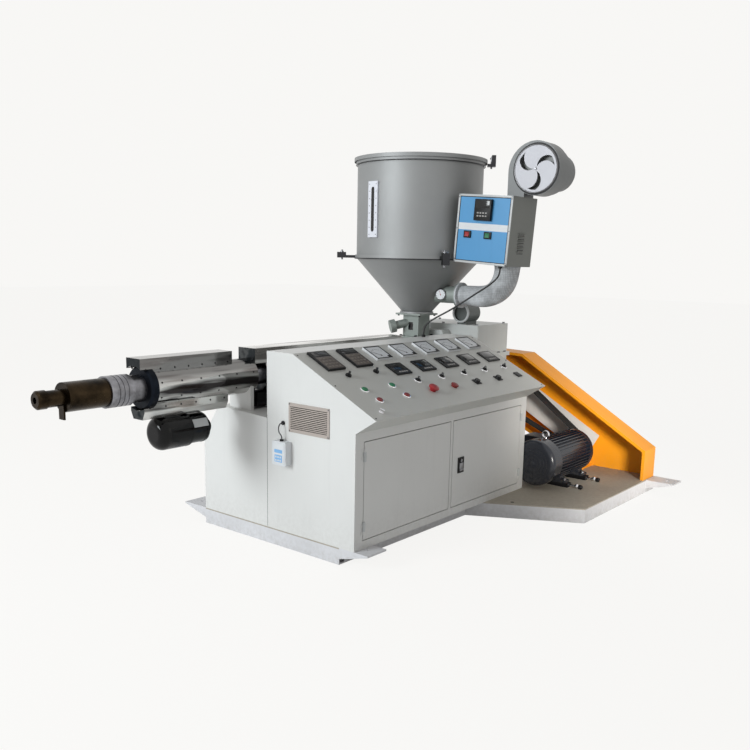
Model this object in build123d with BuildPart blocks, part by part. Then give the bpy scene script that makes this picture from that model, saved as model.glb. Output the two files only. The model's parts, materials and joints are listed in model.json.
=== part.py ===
from build123d import *
import math
import os

# A single-screw plastic extruder with its control cabinet, hopper dryer and belt drive.
# Millimetres. The origin is on the floor under the screw axis, in the middle of the
# base frame's rail at the die end. +X runs along the screw from the die to the drive,
# +Y to the back and +Z up, so the doors and the control panel face -Y.

# Base frame
base_height = 100
base_length = 2880
base_depth = 1158
base_behind_screw = 289
rail_flange = 48
rail_web = 6
rail_foot = 8
deck_thickness = 8
cross_rail_count = 3
platform_start = 1292
platform_slant = 385
platform_reach = 693
platform_rim = 6

# Floor ears, one at each corner of the base
ear_length = 210
ear_width = 165
ear_thickness = 10
ear_root_thickness = 55
ear_hole_radius = 13
ear_hole_reach = 135
ear_gusset = 8

# Control cabinet
sheet = 3
cabinet_length = 1860
cabinet_overhang = 111
door_head_height = 770
nose_reach = 142
nose_height = 860
slope_run = 624
console_height = 1166
console_top_depth = 208

# Vent grille in the die-end panel, placed from the door face and the floor
grille_place = 348
grille_middle_z = 799
grille_width = 316
grille_height = 170
grille_margin = 14
grille_thickness = 5
grille_rib_count = 14
grille_rib = 6

# Cabinet doors
door_side_margin = 72
door_sill = 48
door_head_margin = 52
door_post = 24
door_gap = 5
door_depth = 18
door_lip = 20
hinge_radius = 5
hinge_height = 62
hinge_leaf = 2
hinge_leaf_width = 22
hinge_inset = 70
hinge_play = 0.5
latch_width = 66
latch_height = 102
latch_depth = 5
latch_wall = 8
latch_side_inset = 60
latch_height_on_door = 218

# Low housing behind the cabinet, under the barrel
housing_height = 770
housing_crown_height = 792
housing_crown_reach = 435
housing_shoulder_height = 580
housing_length = 1560

# Screw line, measured along X from the die-end face of the cabinet
screw_height = 985
barrel_radius = 65
cover_radius = 108
cover_reach = 632
cover_tail = 105
bare_barrel = 90
rear_cover_radius = 98
flange_radius = 122
flange_thickness = 46
clamp_ring_radius = 76
clamp_ring_length = 80
collar_radius = 86
collar_length = 140
collar_groove = 3
collar_groove_width = 6
collar_groove_shares = (0.3, 0.5, 0.7)
adaptor_radius = 77
adaptor_length = 236
tip_radius = 43
tip_length = 148
tip_head_length = 52
tip_head_radius = 48
tip_head_chamfer = 10
melt_bore_radius = 17
tab_width = 46
tab_thickness = 10
tab_length = 70
support_inset = 48
support_thickness = 26
support_width = 190

# Polished hoods over the wiring, above and below the barrel
hood_width = 124
hood_height = 78
hood_length = 645
hood_front = 80
hood_sheet = 2
rear_hood_width = 150
rear_hood_height = 62
rear_hood_length = 1470
lower_hood_length = 590
lower_hood_height = 84
lower_hood_front = 60

# Barrel blower under the front cover
blower_radius = 98
blower_length = 215
blower_nose = 55
blower_motor_radius = 88
blower_motor_length = 120
blower_cap_radius = 42
blower_cap_length = 45
blower_start = 35

# Feed section, thrust housing and gearbox
hopper_x = 1846
feed_block_length = 230
feed_block_width = 250
feed_block_height = 270
thrust_width = 340
thrust_height = 390
gearbox_start = 2068
gearbox_length = 448
gearbox_front = 420
gearbox_back = 260
gearbox_top = 1225
gearbox_bottom = 620
gearbox_flange = 14
gearbox_flange_height = 30
stand_wall = 12
stand_margin = 30
input_shaft_offset = 290
input_shaft_height = 725
input_shaft_radius = 30
oil_pump_radius = 76
oil_pump_length = 175
oil_pump_reach = 160
oil_pump_foot = 12
oil_pump_wall = 8
oil_pump_mouth_depth = 20
gearbox_boss_radius = 90
gearbox_boss_length = 40

# Hopper
throat_side = 145
throat_height = 175
throat_window_width = 44
throat_window_height = 60
throat_window_depth = 6
gate_width = 230
gate_thickness = 12
hopper_radius = 468
hopper_sheet = 4
hopper_flange_radius = 128
hopper_flange_thickness = 14
cone_outlet_radius = 116
cone_height = 393
cylinder_height = 717
waist_band_height = 24
waist_band_radius = 480
rim_radius = 480
rim_band_height = 40
lid_radius = 493
lid_edge = 22
lid_rise = 26
lid_thickness = 4
spout_radius = 32
spout_length = 170
spout_cap_radius = 50
spout_cap_length = 42
spout_turn = 40
spout_dip = 14
throat_foot = 14
lid_flat_radius = 120

# Sight glass and latches on the hopper
sight_azimuth = 172
sight_width = 96
sight_rise = 146
sight_height = 390
sight_thickness = 10
sight_slot_width = 22
sight_slot_margin = 40
hinge_azimuth = 131
hinge_reach = 135
latch_azimuth = 238
latch_reach = 58
clamp_azimuth = -56
clamp_reach = 60
fitting_width = 52
fitting_bar = 20
fitting_rise = 42

# Dryer beside the hopper
dryer_azimuth = -92
dryer_lean = 4
dryer_gap = 14
dryer_depth = 300
dryer_width = 440
dryer_height = 462
dryer_drop = 12
dryer_front = 205
dryer_panel_margin = 14
dryer_panel_thickness = 3
dryer_bracket_width = 80
dryer_bracket_height = 40
dryer_bracket_shares = (0.15, 0.8)
dryer_controller_width = 132
dryer_controller_height = 140
dryer_controller_depth = 16
dryer_controller_share = 0.78
dryer_switch_width = 52
dryer_switch_height = 44
dryer_switch_depth = 12
dryer_switch_shares = (0.23, 0.61)
dryer_switch_height_share = 0.42
inlet_share = 0.35
inlet_reach = 410
inlet_radius = 62
inlet_flange_radius = 92
inlet_flange_thickness = 12
duct_start_radius = 66
duct_end_radius = 93
duct_bend_share = 0.85
duct_seat_share = 0.72
duct_section_shares = (0, 0.2, 0.4, 0.6, 0.8, 1)
fan_turn = 182
fan_overhang = 50
fan_rise = 185
fan_shift = 13
fan_small_radius = 170
fan_growth = 12
fan_depth = 140
fan_plate_radius = 150
fan_plate_thickness = 8
fan_opening_depth = 45
fan_opening_count = 3
fan_opening_shares = (0.1, 0.9)
fan_opening_turns = (50, 27)
fan_opening_sweep = 35
fan_opening_lead = 6
fan_step_radius = 160
fan_step_depth = 50
fan_motor_radius = 125
fan_motor_length = 150
fan_neck_width = 125

# Motor, pulleys and belts
motor_start = 1866
motor_front_reach = 75
motor_height = 293
motor_cowl_radius = 167
motor_cowl_length = 130
motor_core_radius = 142
motor_fin_radius = 162
motor_fin_count = 40
motor_fin_width = 6
motor_length = 650
motor_shield_length = 45
motor_shield_radius = 158
motor_shaft_radius = 24
motor_foot_height = 20
motor_foot_width = 300
motor_foot_length = 70
motor_foot_places = (250, 540)
motor_riser_width = 220
motor_riser_height = 70
motor_box_length = 150
motor_box_width = 80
motor_box_height = 130
slide_rail_length = 340
slide_rail_width = 60
slide_rail_height = 30
slide_bolt_radius = 7
slide_bolt_length = 80
slide_bolt_head_radius = 15
slide_bolt_head_length = 20
eyebolt_place = 170
eyebolt_radius = 24
eyebolt_wire = 6
motor_pulley_radius = 62
gearbox_pulley_radius = 165
pulley_start = 2600
pulley_cheek = 6
belt_count = 4
belt_width = 17
belt_pitch = 22
belt_thickness = 12
belt_proud = 3

# Belt guard, measured from the motor's shaft at its low end and from the gearbox's
# input shaft at its high end
guard_start = 2672
guard_depth = 208
guard_sheet = 3
guard_end_reach = 500
guard_end_rise = 35
guard_bend_reach = 180
guard_bend_rise = 247
guard_back_reach = 205
guard_back_rise = 260
guard_heel_drop = 165
guard_lip = 22
belt_back_plate_start = 2770
belt_back_plate_thickness = 5
belt_back_plate_width = 220
belt_back_plate_end_shares = (-0.04, 0.8)
belt_back_plate_spacer_shares = (0.3, 0.65)
belt_back_plate_spacer_radius = 15

# Instruments on the console. Their places are shares of the cabinet's length from the
# die end and of the slope's length from the nose.
instrument_count = 5
meter_width = 150
meter_height = 138
meter_depth = 14
meter_first_share = 0.3532
meter_pitch_share = 0.1371
meter_up_share = 0.862
controller_width = 146
controller_height = 116
controller_depth = 10
controller_first_share = 0.3565
controller_pitch_share = 0.1387
controller_up_share = 0.5986
keypad_width = 146
keypad_height = 192
keypad_depth = 14
keypad_place_shares = (0.0925, 0.2263)
keypad_up_share = 0.836
selector_first_share = 0.3763
selector_pitch_share = 0.1355
selector_up_share = 0.4029
selector_radius = 21
selector_depth = 22
button_radius = 19
button_depth = 16
button_place_shares = ((0.1102, 0.6072), (0.2435, 0.6072), (0.1027, 0.3914), (0.2355, 0.3914),
                       (0.1097, 0.2331), (0.2435, 0.2331), (0.5091, 0.2403), (0.6511, 0.246),
                       (0.7903, 0.2432))
stop_radius = 30
stop_depth = 34
stop_place_share = (0.3855, 0.2403)
lock_side = 40
lock_depth = 8
lock_place_shares = ((0.9312, 0.2446), (0.0565, 0.0878))

# Small box on the die-end panel
junction_width = 110
junction_height = 142
junction_depth = 50
junction_place = 542
junction_bottom = 514

# Cables and their glands: the dryer's gland from its box's outer front corner, the
# console's from the die end and the door face, the grommet from the floor
dryer_cable_radius = 6
junction_cable_radius = 3.5
gland_radius = 14
gland_length = 16
dryer_gland_inset = 67
dryer_gland_front_inset = 30
console_gland_place = 1490
console_gland_depth = 650
grommet_radius = 12
grommet_length = 10
grommet_height = 758
grommet_shift = 10

# Routes of the two cables, as points from one end to the other
cable_bend_share = 0.45
dryer_cable_route = [(1617.3, -846.3, 1659), (1617.2, -844, 1622), (1615, -820, 1584),
                     (1604, -765, 1538), (1583, -684, 1485), (1557, -599, 1424),
                     (1527, -510, 1363), (1499, -429, 1316), (1479, -369, 1278),
                     (1470, -341, 1247), (1466, -330, 1216), (1466, -330, 1182)]
junction_cable_route = [(-34, -428, 758), (-48, -428, 758), (-60, -429, 751),
                        (-67, -430.5, 738), (-69, -432, 722), (-66, -434, 706),
                        (-57, -436.7, 694), (-49, -438, 681.5), (-49, -438, 666)]

# Worked-out places
end_x = -rail_flange / 2
base_end_x = end_x + base_length
base_back_y = base_behind_screw
base_front_y = base_back_y - base_depth
rail_height = base_height - deck_thickness
door_y = base_front_y - cabinet_overhang
nose_y = door_y - nose_reach
slope_top_y = nose_y + slope_run
console_back_y = slope_top_y + console_top_depth
cabinet_end_x = end_x + cabinet_length
platform_front_y = base_front_y - platform_reach
os.makedirs("parts", exist_ok=True)


def bar_along_x(x_from, x_to, radius, y=0, z=screw_height, mode=Mode.ADD):
    """Add a round bar that runs along X to the part being built."""
    with BuildSketch(Plane.YZ.offset(x_from)) as section:
        with Locations((y, z)):
            Circle(radius)
    extrude(section.sketch, amount=x_to - x_from, mode=mode)


def block(x_from, x_to, y_from, y_to, z_from, z_to, mode=Mode.ADD):
    """Add a block given by its limits to the part being built."""
    middle = ((x_from + x_to) / 2, (y_from + y_to) / 2, (z_from + z_to) / 2)
    with Locations(middle):
        Box(x_to - x_from, y_to - y_from, z_to - z_from, mode=mode)


def plate_across_x(points, x_from, x_to, mode=Mode.ADD):
    """Add a plate whose outline is given in Y and Z and whose thickness runs along X."""
    with BuildSketch(Plane.YZ.offset(x_from)) as outline:
        with BuildLine():
            Polyline(*points, close=True)
        make_face()
    extrude(outline.sketch, amount=x_to - x_from, mode=mode)


def plate_across_z(points, z_from, z_to, mode=Mode.ADD):
    """Add a plate whose outline is given in X and Y and whose thickness runs along Z."""
    with BuildSketch(Plane.XY.offset(z_from)) as outline:
        with BuildLine():
            Polyline(*points, close=True)
        make_face()
    extrude(outline.sketch, amount=z_to - z_from, mode=mode)


def inset(points, thickness):
    """Corners of the outline that lies one thickness inside a closed outline.

    The outline turns counter-clockwise.
    """
    corners = []
    count = len(points)
    for index in range(count):
        before = Vector(*points[index - 1])
        here = Vector(*points[index])
        after = Vector(*points[(index + 1) % count])
        arriving = (here - before).normalized()
        leaving = (after - here).normalized()
        inward = Vector(-arriving.Y - leaving.Y, arriving.X + leaving.X).normalized()
        reach = thickness / inward.dot(Vector(-leaving.Y, leaving.X))
        corner = here + inward * reach
        corners.append((corner.X, corner.Y))
    return corners


def save(builder, name):
    """Label a finished piece and write its STEP file."""
    builder.part.label = name
    export_step(builder.part, f"parts/{name}.step")


# Base frame: rails of channel section under a deck plate
rail_start_x = end_x + rail_flange
rail_end_x = base_end_x - rail_flange
bay_length = (rail_end_x - rail_start_x - cross_rail_count * rail_flange) / (cross_rail_count + 1)

with BuildPart() as long_rails:
    for web_y, flange_y in ((base_front_y, base_front_y + rail_flange),
                            (base_back_y, base_back_y - rail_flange)):
        inside_y = web_y + math.copysign(rail_web, flange_y - web_y)
        low_y, high_y = min(web_y, flange_y), max(web_y, flange_y)
        block(rail_start_x, rail_end_x, low_y, high_y, 0, rail_height)
        low_y, high_y = min(inside_y, flange_y), max(inside_y, flange_y)
        block(rail_start_x, rail_end_x, low_y, high_y,
              rail_foot, rail_height - rail_foot, Mode.SUBTRACT)
save(long_rails, "base_long_rails")

with BuildPart() as cross_rails:
    block(end_x, end_x + rail_flange, base_front_y, base_back_y, 0, rail_height)
    block(end_x + rail_web, end_x + rail_flange, base_front_y, base_back_y,
          rail_foot, rail_height - rail_foot, Mode.SUBTRACT)
    for number in range(cross_rail_count):
        rail_x = rail_start_x + bay_length + number * (bay_length + rail_flange)
        block(rail_x, rail_x + rail_flange, base_front_y + rail_flange,
              base_back_y - rail_flange, 0, rail_height)
        block(rail_x + rail_web, rail_x + rail_flange, base_front_y + rail_flange,
              base_back_y - rail_flange, rail_foot, rail_height - rail_foot, Mode.SUBTRACT)
    block(rail_end_x, base_end_x, platform_front_y, base_back_y, 0, rail_height)
    block(rail_end_x, base_end_x - rail_web, platform_front_y, base_back_y,
          rail_foot, rail_height - rail_foot, Mode.SUBTRACT)
save(cross_rails, "base_cross_rails")

platform_corner_x = end_x + platform_start
platform_knee_x = platform_corner_x + platform_slant
with BuildPart() as platform_rim_bars:
    with BuildSketch() as rim_section:
        with BuildLine():
            Polyline((platform_corner_x, base_front_y), (platform_knee_x, platform_front_y),
                     (rail_end_x, platform_front_y))
            offset(amount=platform_rim, side=Side.LEFT, kind=Kind.INTERSECTION)
        make_face()
        with Locations(((platform_corner_x + rail_end_x) / 2, base_front_y + base_depth / 2)):
            Rectangle(base_length, base_depth, mode=Mode.SUBTRACT)
    extrude(amount=rail_height)
save(platform_rim_bars, "platform_rim")

with BuildPart() as deck:
    plate_across_z([(end_x, base_front_y), (platform_corner_x, base_front_y),
                    (platform_knee_x, platform_front_y), (base_end_x, platform_front_y),
                    (base_end_x, base_back_y), (end_x, base_back_y)],
                   rail_height, base_height)
save(deck, "deck_plate")

# Floor ears: a bolted plate level with the deck, on two tapered gussets
ear_places = [(end_x, base_front_y, -1), (end_x, base_back_y, 1),
              (base_end_x - ear_width, platform_front_y, -1),
              (base_end_x - ear_width, base_back_y, 1)]
with BuildPart() as floor_ears:
    for ear_x, root_y, outward in ear_places:
        tip_y = root_y + outward * ear_length
        low_y, high_y = min(root_y, tip_y), max(root_y, tip_y)
        block(ear_x, ear_x + ear_width, low_y, high_y,
              base_height - ear_thickness, base_height)
        for gusset_x in (ear_x, ear_x + ear_width - ear_gusset):
            plate_across_x([(root_y, base_height - ear_thickness),
                            (root_y, base_height - ear_thickness - ear_root_thickness),
                            (tip_y, base_height - ear_thickness)],
                           gusset_x, gusset_x + ear_gusset)
        with Locations((ear_x + ear_width / 2, root_y + outward * ear_hole_reach, base_height)):
            Hole(ear_hole_radius)
save(floor_ears, "floor_ears")

# Cabinet shell: bent sheets between two end panels
cabinet_outline = [(door_y, base_height), (console_back_y, base_height),
                   (console_back_y, console_height), (slope_top_y, console_height),
                   (nose_y, nose_height), (door_y, door_head_height)]
inner_outline = inset(cabinet_outline, sheet)


def cabinet_strip(first):
    """Outline of the sheet between one corner of the cabinet's outline and the next."""
    second = (first + 1) % len(cabinet_outline)
    return [cabinet_outline[first], cabinet_outline[second],
            inner_outline[second], inner_outline[first]]


inside_start_x = end_x + sheet
inside_end_x = cabinet_end_x - sheet

grille_middle_y = door_y + grille_place
with BuildPart() as die_end_panel:
    plate_across_x(cabinet_outline, end_x, inside_start_x)
    block(end_x - sheet, end_x + 2 * sheet,
          grille_middle_y - grille_width / 2 + grille_margin,
          grille_middle_y + grille_width / 2 - grille_margin,
          grille_middle_z - grille_height / 2 + grille_margin,
          grille_middle_z + grille_height / 2 - grille_margin, Mode.SUBTRACT)
save(die_end_panel, "die_end_panel")

with BuildPart() as drive_end_panel:
    plate_across_x(cabinet_outline, inside_end_x, cabinet_end_x)
save(drive_end_panel, "drive_end_panel")

for sheet_name, corners in (("cabinet_floor", range(0, 1)), ("cabinet_back", range(1, 3)),
                            ("console_panel", range(3, 5))):
    with BuildPart() as bent_sheet:
        for corner in corners:
            plate_across_x(cabinet_strip(corner), inside_start_x, inside_end_x)
    save(bent_sheet, sheet_name)

# Vent grille: a frame with level ribs over the opening in the end panel
rib_pitch = (grille_height - 2 * grille_margin - grille_rib) / (grille_rib_count - 1)
with BuildPart() as vent_grille:
    block(end_x - grille_thickness, end_x,
          grille_middle_y - grille_width / 2, grille_middle_y + grille_width / 2,
          grille_middle_z - grille_height / 2, grille_middle_z + grille_height / 2)
    for number in range(grille_rib_count - 1):
        slot_z = grille_middle_z - grille_height / 2 + grille_margin + grille_rib + number * rib_pitch
        block(end_x - 2 * grille_thickness, end_x + grille_thickness,
              grille_middle_y - grille_width / 2 + grille_margin,
              grille_middle_y + grille_width / 2 - grille_margin,
              slot_z, slot_z + rib_pitch - grille_rib, Mode.SUBTRACT)
save(vent_grille, "vent_grille")

# Door frame: a sheet front with lips that turn in round the two door openings
door_bottom_z = base_height + door_sill
door_top_z = door_head_height - door_head_margin
frame_middle_x = (end_x + cabinet_end_x) / 2
opening_limits = [(end_x + door_side_margin, frame_middle_x - door_post / 2),
                  (frame_middle_x + door_post / 2, cabinet_end_x - door_side_margin)]
# Doors: shallow pans, each hung on two small hinges at its outer edge
hinge_y = door_y - hinge_radius
hinge_middles = (door_bottom_z + hinge_inset, door_top_z - hinge_inset)
knuckle = hinge_height / 3


def hinge_knuckles(pin_x, side, levels):
    """Add hinge knuckles and their leaves, which lie on the side given, to the part."""
    for low_z, high_z in levels:
        with BuildSketch(Plane.XY.offset(low_z)) as section:
            with Locations((pin_x, hinge_y)):
                Circle(hinge_radius)
        extrude(section.sketch, amount=high_z - low_z)
        leaf_edge = pin_x + side * hinge_leaf_width
        block(min(pin_x, leaf_edge), max(pin_x, leaf_edge), door_y - hinge_leaf, door_y,
              low_z, high_z)


def outer_levels():
    """Heights of the two knuckles of each hinge that stay on the frame."""
    levels = []
    for middle in hinge_middles:
        levels.append((middle - 1.5 * knuckle, middle - knuckle / 2 - hinge_play))
        levels.append((middle + knuckle / 2 + hinge_play, middle + 1.5 * knuckle))
    return levels


def middle_levels():
    """Heights of the knuckle of each hinge that turns with the door."""
    return [(middle - knuckle / 2, middle + knuckle / 2) for middle in hinge_middles]


left_pin_x = opening_limits[0][0] + door_gap / 2
right_pin_x = opening_limits[1][1] - door_gap / 2
with BuildPart() as door_frame:
    plate_across_x(cabinet_strip(5), inside_start_x, inside_end_x)
    for left_x, right_x in opening_limits:
        block(left_x - sheet, right_x + sheet, door_y, door_y + door_lip,
              door_bottom_z - sheet, door_top_z + sheet)
    for left_x, right_x in opening_limits:
        block(left_x, right_x, door_y - sheet, door_y + 2 * door_lip,
              door_bottom_z, door_top_z, Mode.SUBTRACT)
    hinge_knuckles(left_pin_x, -1, outer_levels())
    hinge_knuckles(right_pin_x, 1, outer_levels())
save(door_frame, "door_frame")

for door_name, (left_x, right_x), pin_x, side in zip(
        ("left_door", "right_door"), opening_limits, (left_pin_x, right_pin_x), (1, -1)):
    with BuildPart() as door:
        block(left_x + door_gap, right_x - door_gap, door_y, door_y + door_depth,
              door_bottom_z + door_gap, door_top_z - door_gap)
        block(left_x + door_gap + hinge_leaf, right_x - door_gap - hinge_leaf,
              door_y + hinge_leaf, door_y + 2 * door_depth,
              door_bottom_z + door_gap + hinge_leaf, door_top_z - door_gap - hinge_leaf,
              Mode.SUBTRACT)
        hinge_knuckles(pin_x, side, middle_levels())
    save(door, door_name)

latch_x = opening_limits[1][0] + door_gap + latch_side_inset
latch_z = door_bottom_z + latch_height_on_door
with BuildPart() as door_latch:
    block(latch_x, latch_x + latch_width, door_y - latch_depth, door_y,
          latch_z, latch_z + latch_height)
    block(latch_x + latch_wall, latch_x + latch_width - latch_wall,
          door_y - 2 * latch_depth, door_y - latch_depth / 3,
          latch_z + latch_wall, latch_z + latch_height - latch_wall, Mode.SUBTRACT)
save(door_latch, "door_latch")

# Low housing behind the cabinet
with BuildPart() as rear_housing:
    plate_across_x([(console_back_y, base_height), (base_back_y, base_height),
                    (base_back_y, housing_shoulder_height),
                    (console_back_y + housing_crown_reach, housing_crown_height),
                    (console_back_y, housing_height)],
                   end_x, end_x + housing_length)
    offset(amount=-sheet, openings=rear_housing.faces().sort_by(Axis.Z)[0],
           kind=Kind.INTERSECTION)
save(rear_housing, "rear_housing")

# Barrel, flange, collars, die adaptor and tip on the screw axis
flange_x = end_x - cover_reach - flange_thickness
clamp_ring_x = flange_x - clamp_ring_length
collar_x = clamp_ring_x - collar_length
adaptor_x = collar_x - adaptor_length
tip_x = adaptor_x - tip_length
feed_start_x = end_x + hopper_x - feed_block_length / 2

with BuildPart() as barrel:
    bar_along_x(flange_x + flange_thickness, feed_start_x, barrel_radius)
save(barrel, "barrel")

with BuildPart() as barrel_flange:
    bar_along_x(flange_x, flange_x + flange_thickness, flange_radius)
    chamfer(barrel_flange.faces().sort_by(Axis.X)[0].edges(), flange_thickness / 4)
save(barrel_flange, "barrel_flange")

with BuildPart() as collar:
    bar_along_x(clamp_ring_x, flange_x, clamp_ring_radius)
    bar_along_x(collar_x, clamp_ring_x, collar_radius)
    for share in collar_groove_shares:
        groove_x = collar_x + share * collar_length
        with BuildSketch(Plane.YZ.offset(groove_x)) as groove:
            with Locations((0, screw_height)):
                Circle(collar_radius + collar_groove)
                Circle(collar_radius - collar_groove, mode=Mode.SUBTRACT)
        extrude(groove.sketch, amount=collar_groove_width, mode=Mode.SUBTRACT)
save(collar, "grooved_collar")

with BuildPart() as die_adaptor:
    bar_along_x(tip_x, tip_x + tip_head_length, tip_head_radius)
    chamfer(die_adaptor.faces().sort_by(Axis.X)[0].edges(), tip_head_chamfer)
    bar_along_x(tip_x + tip_head_length, adaptor_x, tip_radius)
    bar_along_x(adaptor_x, collar_x, adaptor_radius)
    block(adaptor_x - tab_thickness, adaptor_x, -tab_width / 2, tab_width / 2,
          screw_height - tip_radius - tab_length, screw_height - tip_radius / 2)
    bar_along_x(tip_x, adaptor_x, melt_bore_radius, mode=Mode.SUBTRACT)
save(die_adaptor, "die_adaptor")

# Polished covers: a round one, with a box hood above and a tapered one below
cover_x = end_x - cover_reach
cover_end_x = end_x + cover_tail
with BuildPart() as front_cover:
    bar_along_x(cover_x, cover_end_x, cover_radius)
    bar_along_x(cover_x, cover_end_x, barrel_radius, mode=Mode.SUBTRACT)
save(front_cover, "front_cover")

hood_x = cover_x - hood_front
hood_seat_z = screw_height + math.sqrt(cover_radius ** 2 - (hood_width / 2) ** 2)
with BuildPart() as front_hood:
    block(hood_x, hood_x + hood_length, -hood_width / 2, hood_width / 2,
          hood_seat_z, hood_seat_z + hood_height)
    bar_along_x(hood_x, hood_x + hood_length, cover_radius, mode=Mode.SUBTRACT)
    bar_along_x(hood_x, cover_x, flange_radius + hood_sheet, mode=Mode.SUBTRACT)
save(front_hood, "front_hood")

rear_cover_x = cover_end_x + bare_barrel
with BuildPart() as rear_cover:
    bar_along_x(rear_cover_x, feed_start_x, rear_cover_radius)
    block(cover_end_x, cover_end_x + rear_hood_length, -rear_hood_width / 2,
          rear_hood_width / 2, screw_height,
          screw_height + cover_radius + rear_hood_height)
    bar_along_x(cover_end_x, rear_cover_x, cover_radius, mode=Mode.SUBTRACT)
    bar_along_x(cover_end_x, feed_start_x, barrel_radius, mode=Mode.SUBTRACT)
save(rear_cover, "rear_cover")

lower_hood_x = cover_x - lower_hood_front
lower_hood_top_z = screw_height - math.sqrt(cover_radius ** 2 - (hood_width / 2) ** 2)
lower_hood_bottom_z = lower_hood_top_z - lower_hood_height
with BuildPart() as lower_hood:
    plate_across_x([(-hood_width / 2, lower_hood_top_z), (hood_width / 2, lower_hood_top_z),
                    (hood_width / 2, lower_hood_top_z - lower_hood_height / 2),
                    (hood_width / 3, lower_hood_bottom_z),
                    (-hood_width / 3, lower_hood_bottom_z),
                    (-hood_width / 2, lower_hood_top_z - lower_hood_height / 2)],
                   lower_hood_x, lower_hood_x + lower_hood_length)
    bar_along_x(lower_hood_x, lower_hood_x + lower_hood_length, cover_radius,
                mode=Mode.SUBTRACT)
    bar_along_x(lower_hood_x, cover_x, flange_radius + hood_sheet, mode=Mode.SUBTRACT)
save(lower_hood, "lower_hood")

# Barrel blower: a short drum with its motor behind it, hung under the lower hood
blower_x = cover_x + blower_start
blower_z = lower_hood_bottom_z - blower_radius
blower_end_x = blower_x + blower_length + blower_motor_length
with BuildPart() as barrel_blower:
    bar_along_x(blower_x, blower_x + blower_length, blower_radius, z=blower_z)
    fillet(barrel_blower.edges().filter_by(GeomType.CIRCLE).sort_by(Axis.X)[0], blower_nose)
    block(blower_x + blower_length / 4, blower_x + blower_length * 3 / 4, -hood_width / 3,
          hood_width / 3, blower_z, lower_hood_bottom_z)
    bar_along_x(blower_x + blower_length, blower_end_x, blower_motor_radius, z=blower_z)
    bar_along_x(blower_end_x, blower_end_x + blower_cap_length, blower_cap_radius, z=blower_z)
save(barrel_blower, "barrel_blower")

# Barrel support on the low housing
support_x = end_x + support_inset
housing_slope = (housing_crown_height - housing_height) / housing_crown_reach


def housing_top(y):
    """Height of the low housing's top sheet at a place across the machine."""
    return housing_height + (y - console_back_y) * housing_slope


with BuildPart() as barrel_support:
    plate_across_x([(-support_width / 2, housing_top(-support_width / 2)),
                    (support_width / 2, housing_top(support_width / 2)),
                    (support_width / 2, screw_height), (-support_width / 2, screw_height)],
                   support_x, support_x + support_thickness)
    bar_along_x(support_x, support_x + support_thickness, cover_radius, mode=Mode.SUBTRACT)
save(barrel_support, "barrel_support")

# Feed block, thrust housing and gearbox in line behind the barrel
feed_end_x = feed_start_x + feed_block_length
gearbox_x = end_x + gearbox_start
gearbox_end_x = gearbox_x + gearbox_length
pulley_x = end_x + pulley_start
with BuildPart() as feed_block:
    block(feed_start_x, feed_end_x, -feed_block_width / 2, feed_block_width / 2,
          screw_height - feed_block_height / 2, screw_height + feed_block_height / 2)
    chamfer(feed_block.edges().filter_by(Axis.X), feed_block_width / 12)
save(feed_block, "feed_block")

with BuildPart() as thrust_housing:
    block(feed_end_x, gearbox_x, -thrust_width / 2, thrust_width / 2,
          screw_height - thrust_height / 2, screw_height + thrust_height / 2)
    fillet(thrust_housing.edges().filter_by(Axis.X), thrust_width / 12)
save(thrust_housing, "thrust_housing")

with BuildPart() as gearbox:
    block(gearbox_x, gearbox_end_x, -gearbox_front, gearbox_back, gearbox_bottom, gearbox_top)
    fillet(gearbox.edges().filter_by(Axis.Z), gearbox_flange)
    block(gearbox_x, gearbox_end_x + gearbox_flange, -gearbox_front - gearbox_flange,
          gearbox_back + gearbox_flange, screw_height - gearbox_flange_height / 2,
          screw_height + gearbox_flange_height / 2)
    bar_along_x(gearbox_end_x, gearbox_end_x + gearbox_boss_length, gearbox_boss_radius,
                -input_shaft_offset, input_shaft_height)
    bar_along_x(gearbox_end_x + gearbox_boss_length, pulley_x, input_shaft_radius,
                -input_shaft_offset, input_shaft_height)
save(gearbox, "gearbox")

with BuildPart() as gearbox_stand:
    block(gearbox_x + stand_margin, gearbox_end_x - stand_margin,
          -gearbox_front + stand_margin, gearbox_back - stand_margin,
          base_height, gearbox_bottom)
    block(gearbox_x + stand_margin + stand_wall, gearbox_end_x - stand_margin - stand_wall,
          -gearbox_front + stand_margin + stand_wall, gearbox_back - stand_margin - stand_wall,
          base_height, gearbox_bottom - stand_wall, Mode.SUBTRACT)
save(gearbox_stand, "gearbox_stand")

# Small oil pump motor lying on top of the gearbox
pump_y = -gearbox_front + oil_pump_reach
pump_z = gearbox_top + oil_pump_radius + oil_pump_foot
with BuildPart() as oil_pump:
    bar_along_x(gearbox_x, gearbox_x + oil_pump_length, oil_pump_radius, pump_y, pump_z)
    fillet(oil_pump.edges().filter_by(GeomType.CIRCLE).sort_by(Axis.X)[-1], oil_pump_radius / 3)
    block(gearbox_x + oil_pump_foot, gearbox_x + oil_pump_length - oil_pump_foot,
          pump_y - oil_pump_radius / 2, pump_y + oil_pump_radius / 2, gearbox_top, pump_z)
    bar_along_x(gearbox_x, gearbox_x + oil_pump_mouth_depth, oil_pump_radius - oil_pump_wall,
                pump_y, pump_z, Mode.SUBTRACT)
save(oil_pump, "oil_pump")

# Hopper: throat, slide gate, cone, cylinder, rim and lid on one upright axis
hopper_middle_x = end_x + hopper_x
hopper_section = Plane(origin=(hopper_middle_x, 0, 0), x_dir=(1, 0, 0), z_dir=(0, -1, 0))
hopper_axis = Axis((hopper_middle_x, 0, 0), (0, 0, 1))
throat_bottom_z = screw_height + feed_block_height / 2
gate_z = throat_bottom_z + throat_height
hopper_flange_z = gate_z + gate_thickness
cone_bottom_z = hopper_flange_z + hopper_flange_thickness
waist_height = cone_bottom_z + cone_height
rim_height = waist_height + cylinder_height


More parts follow.
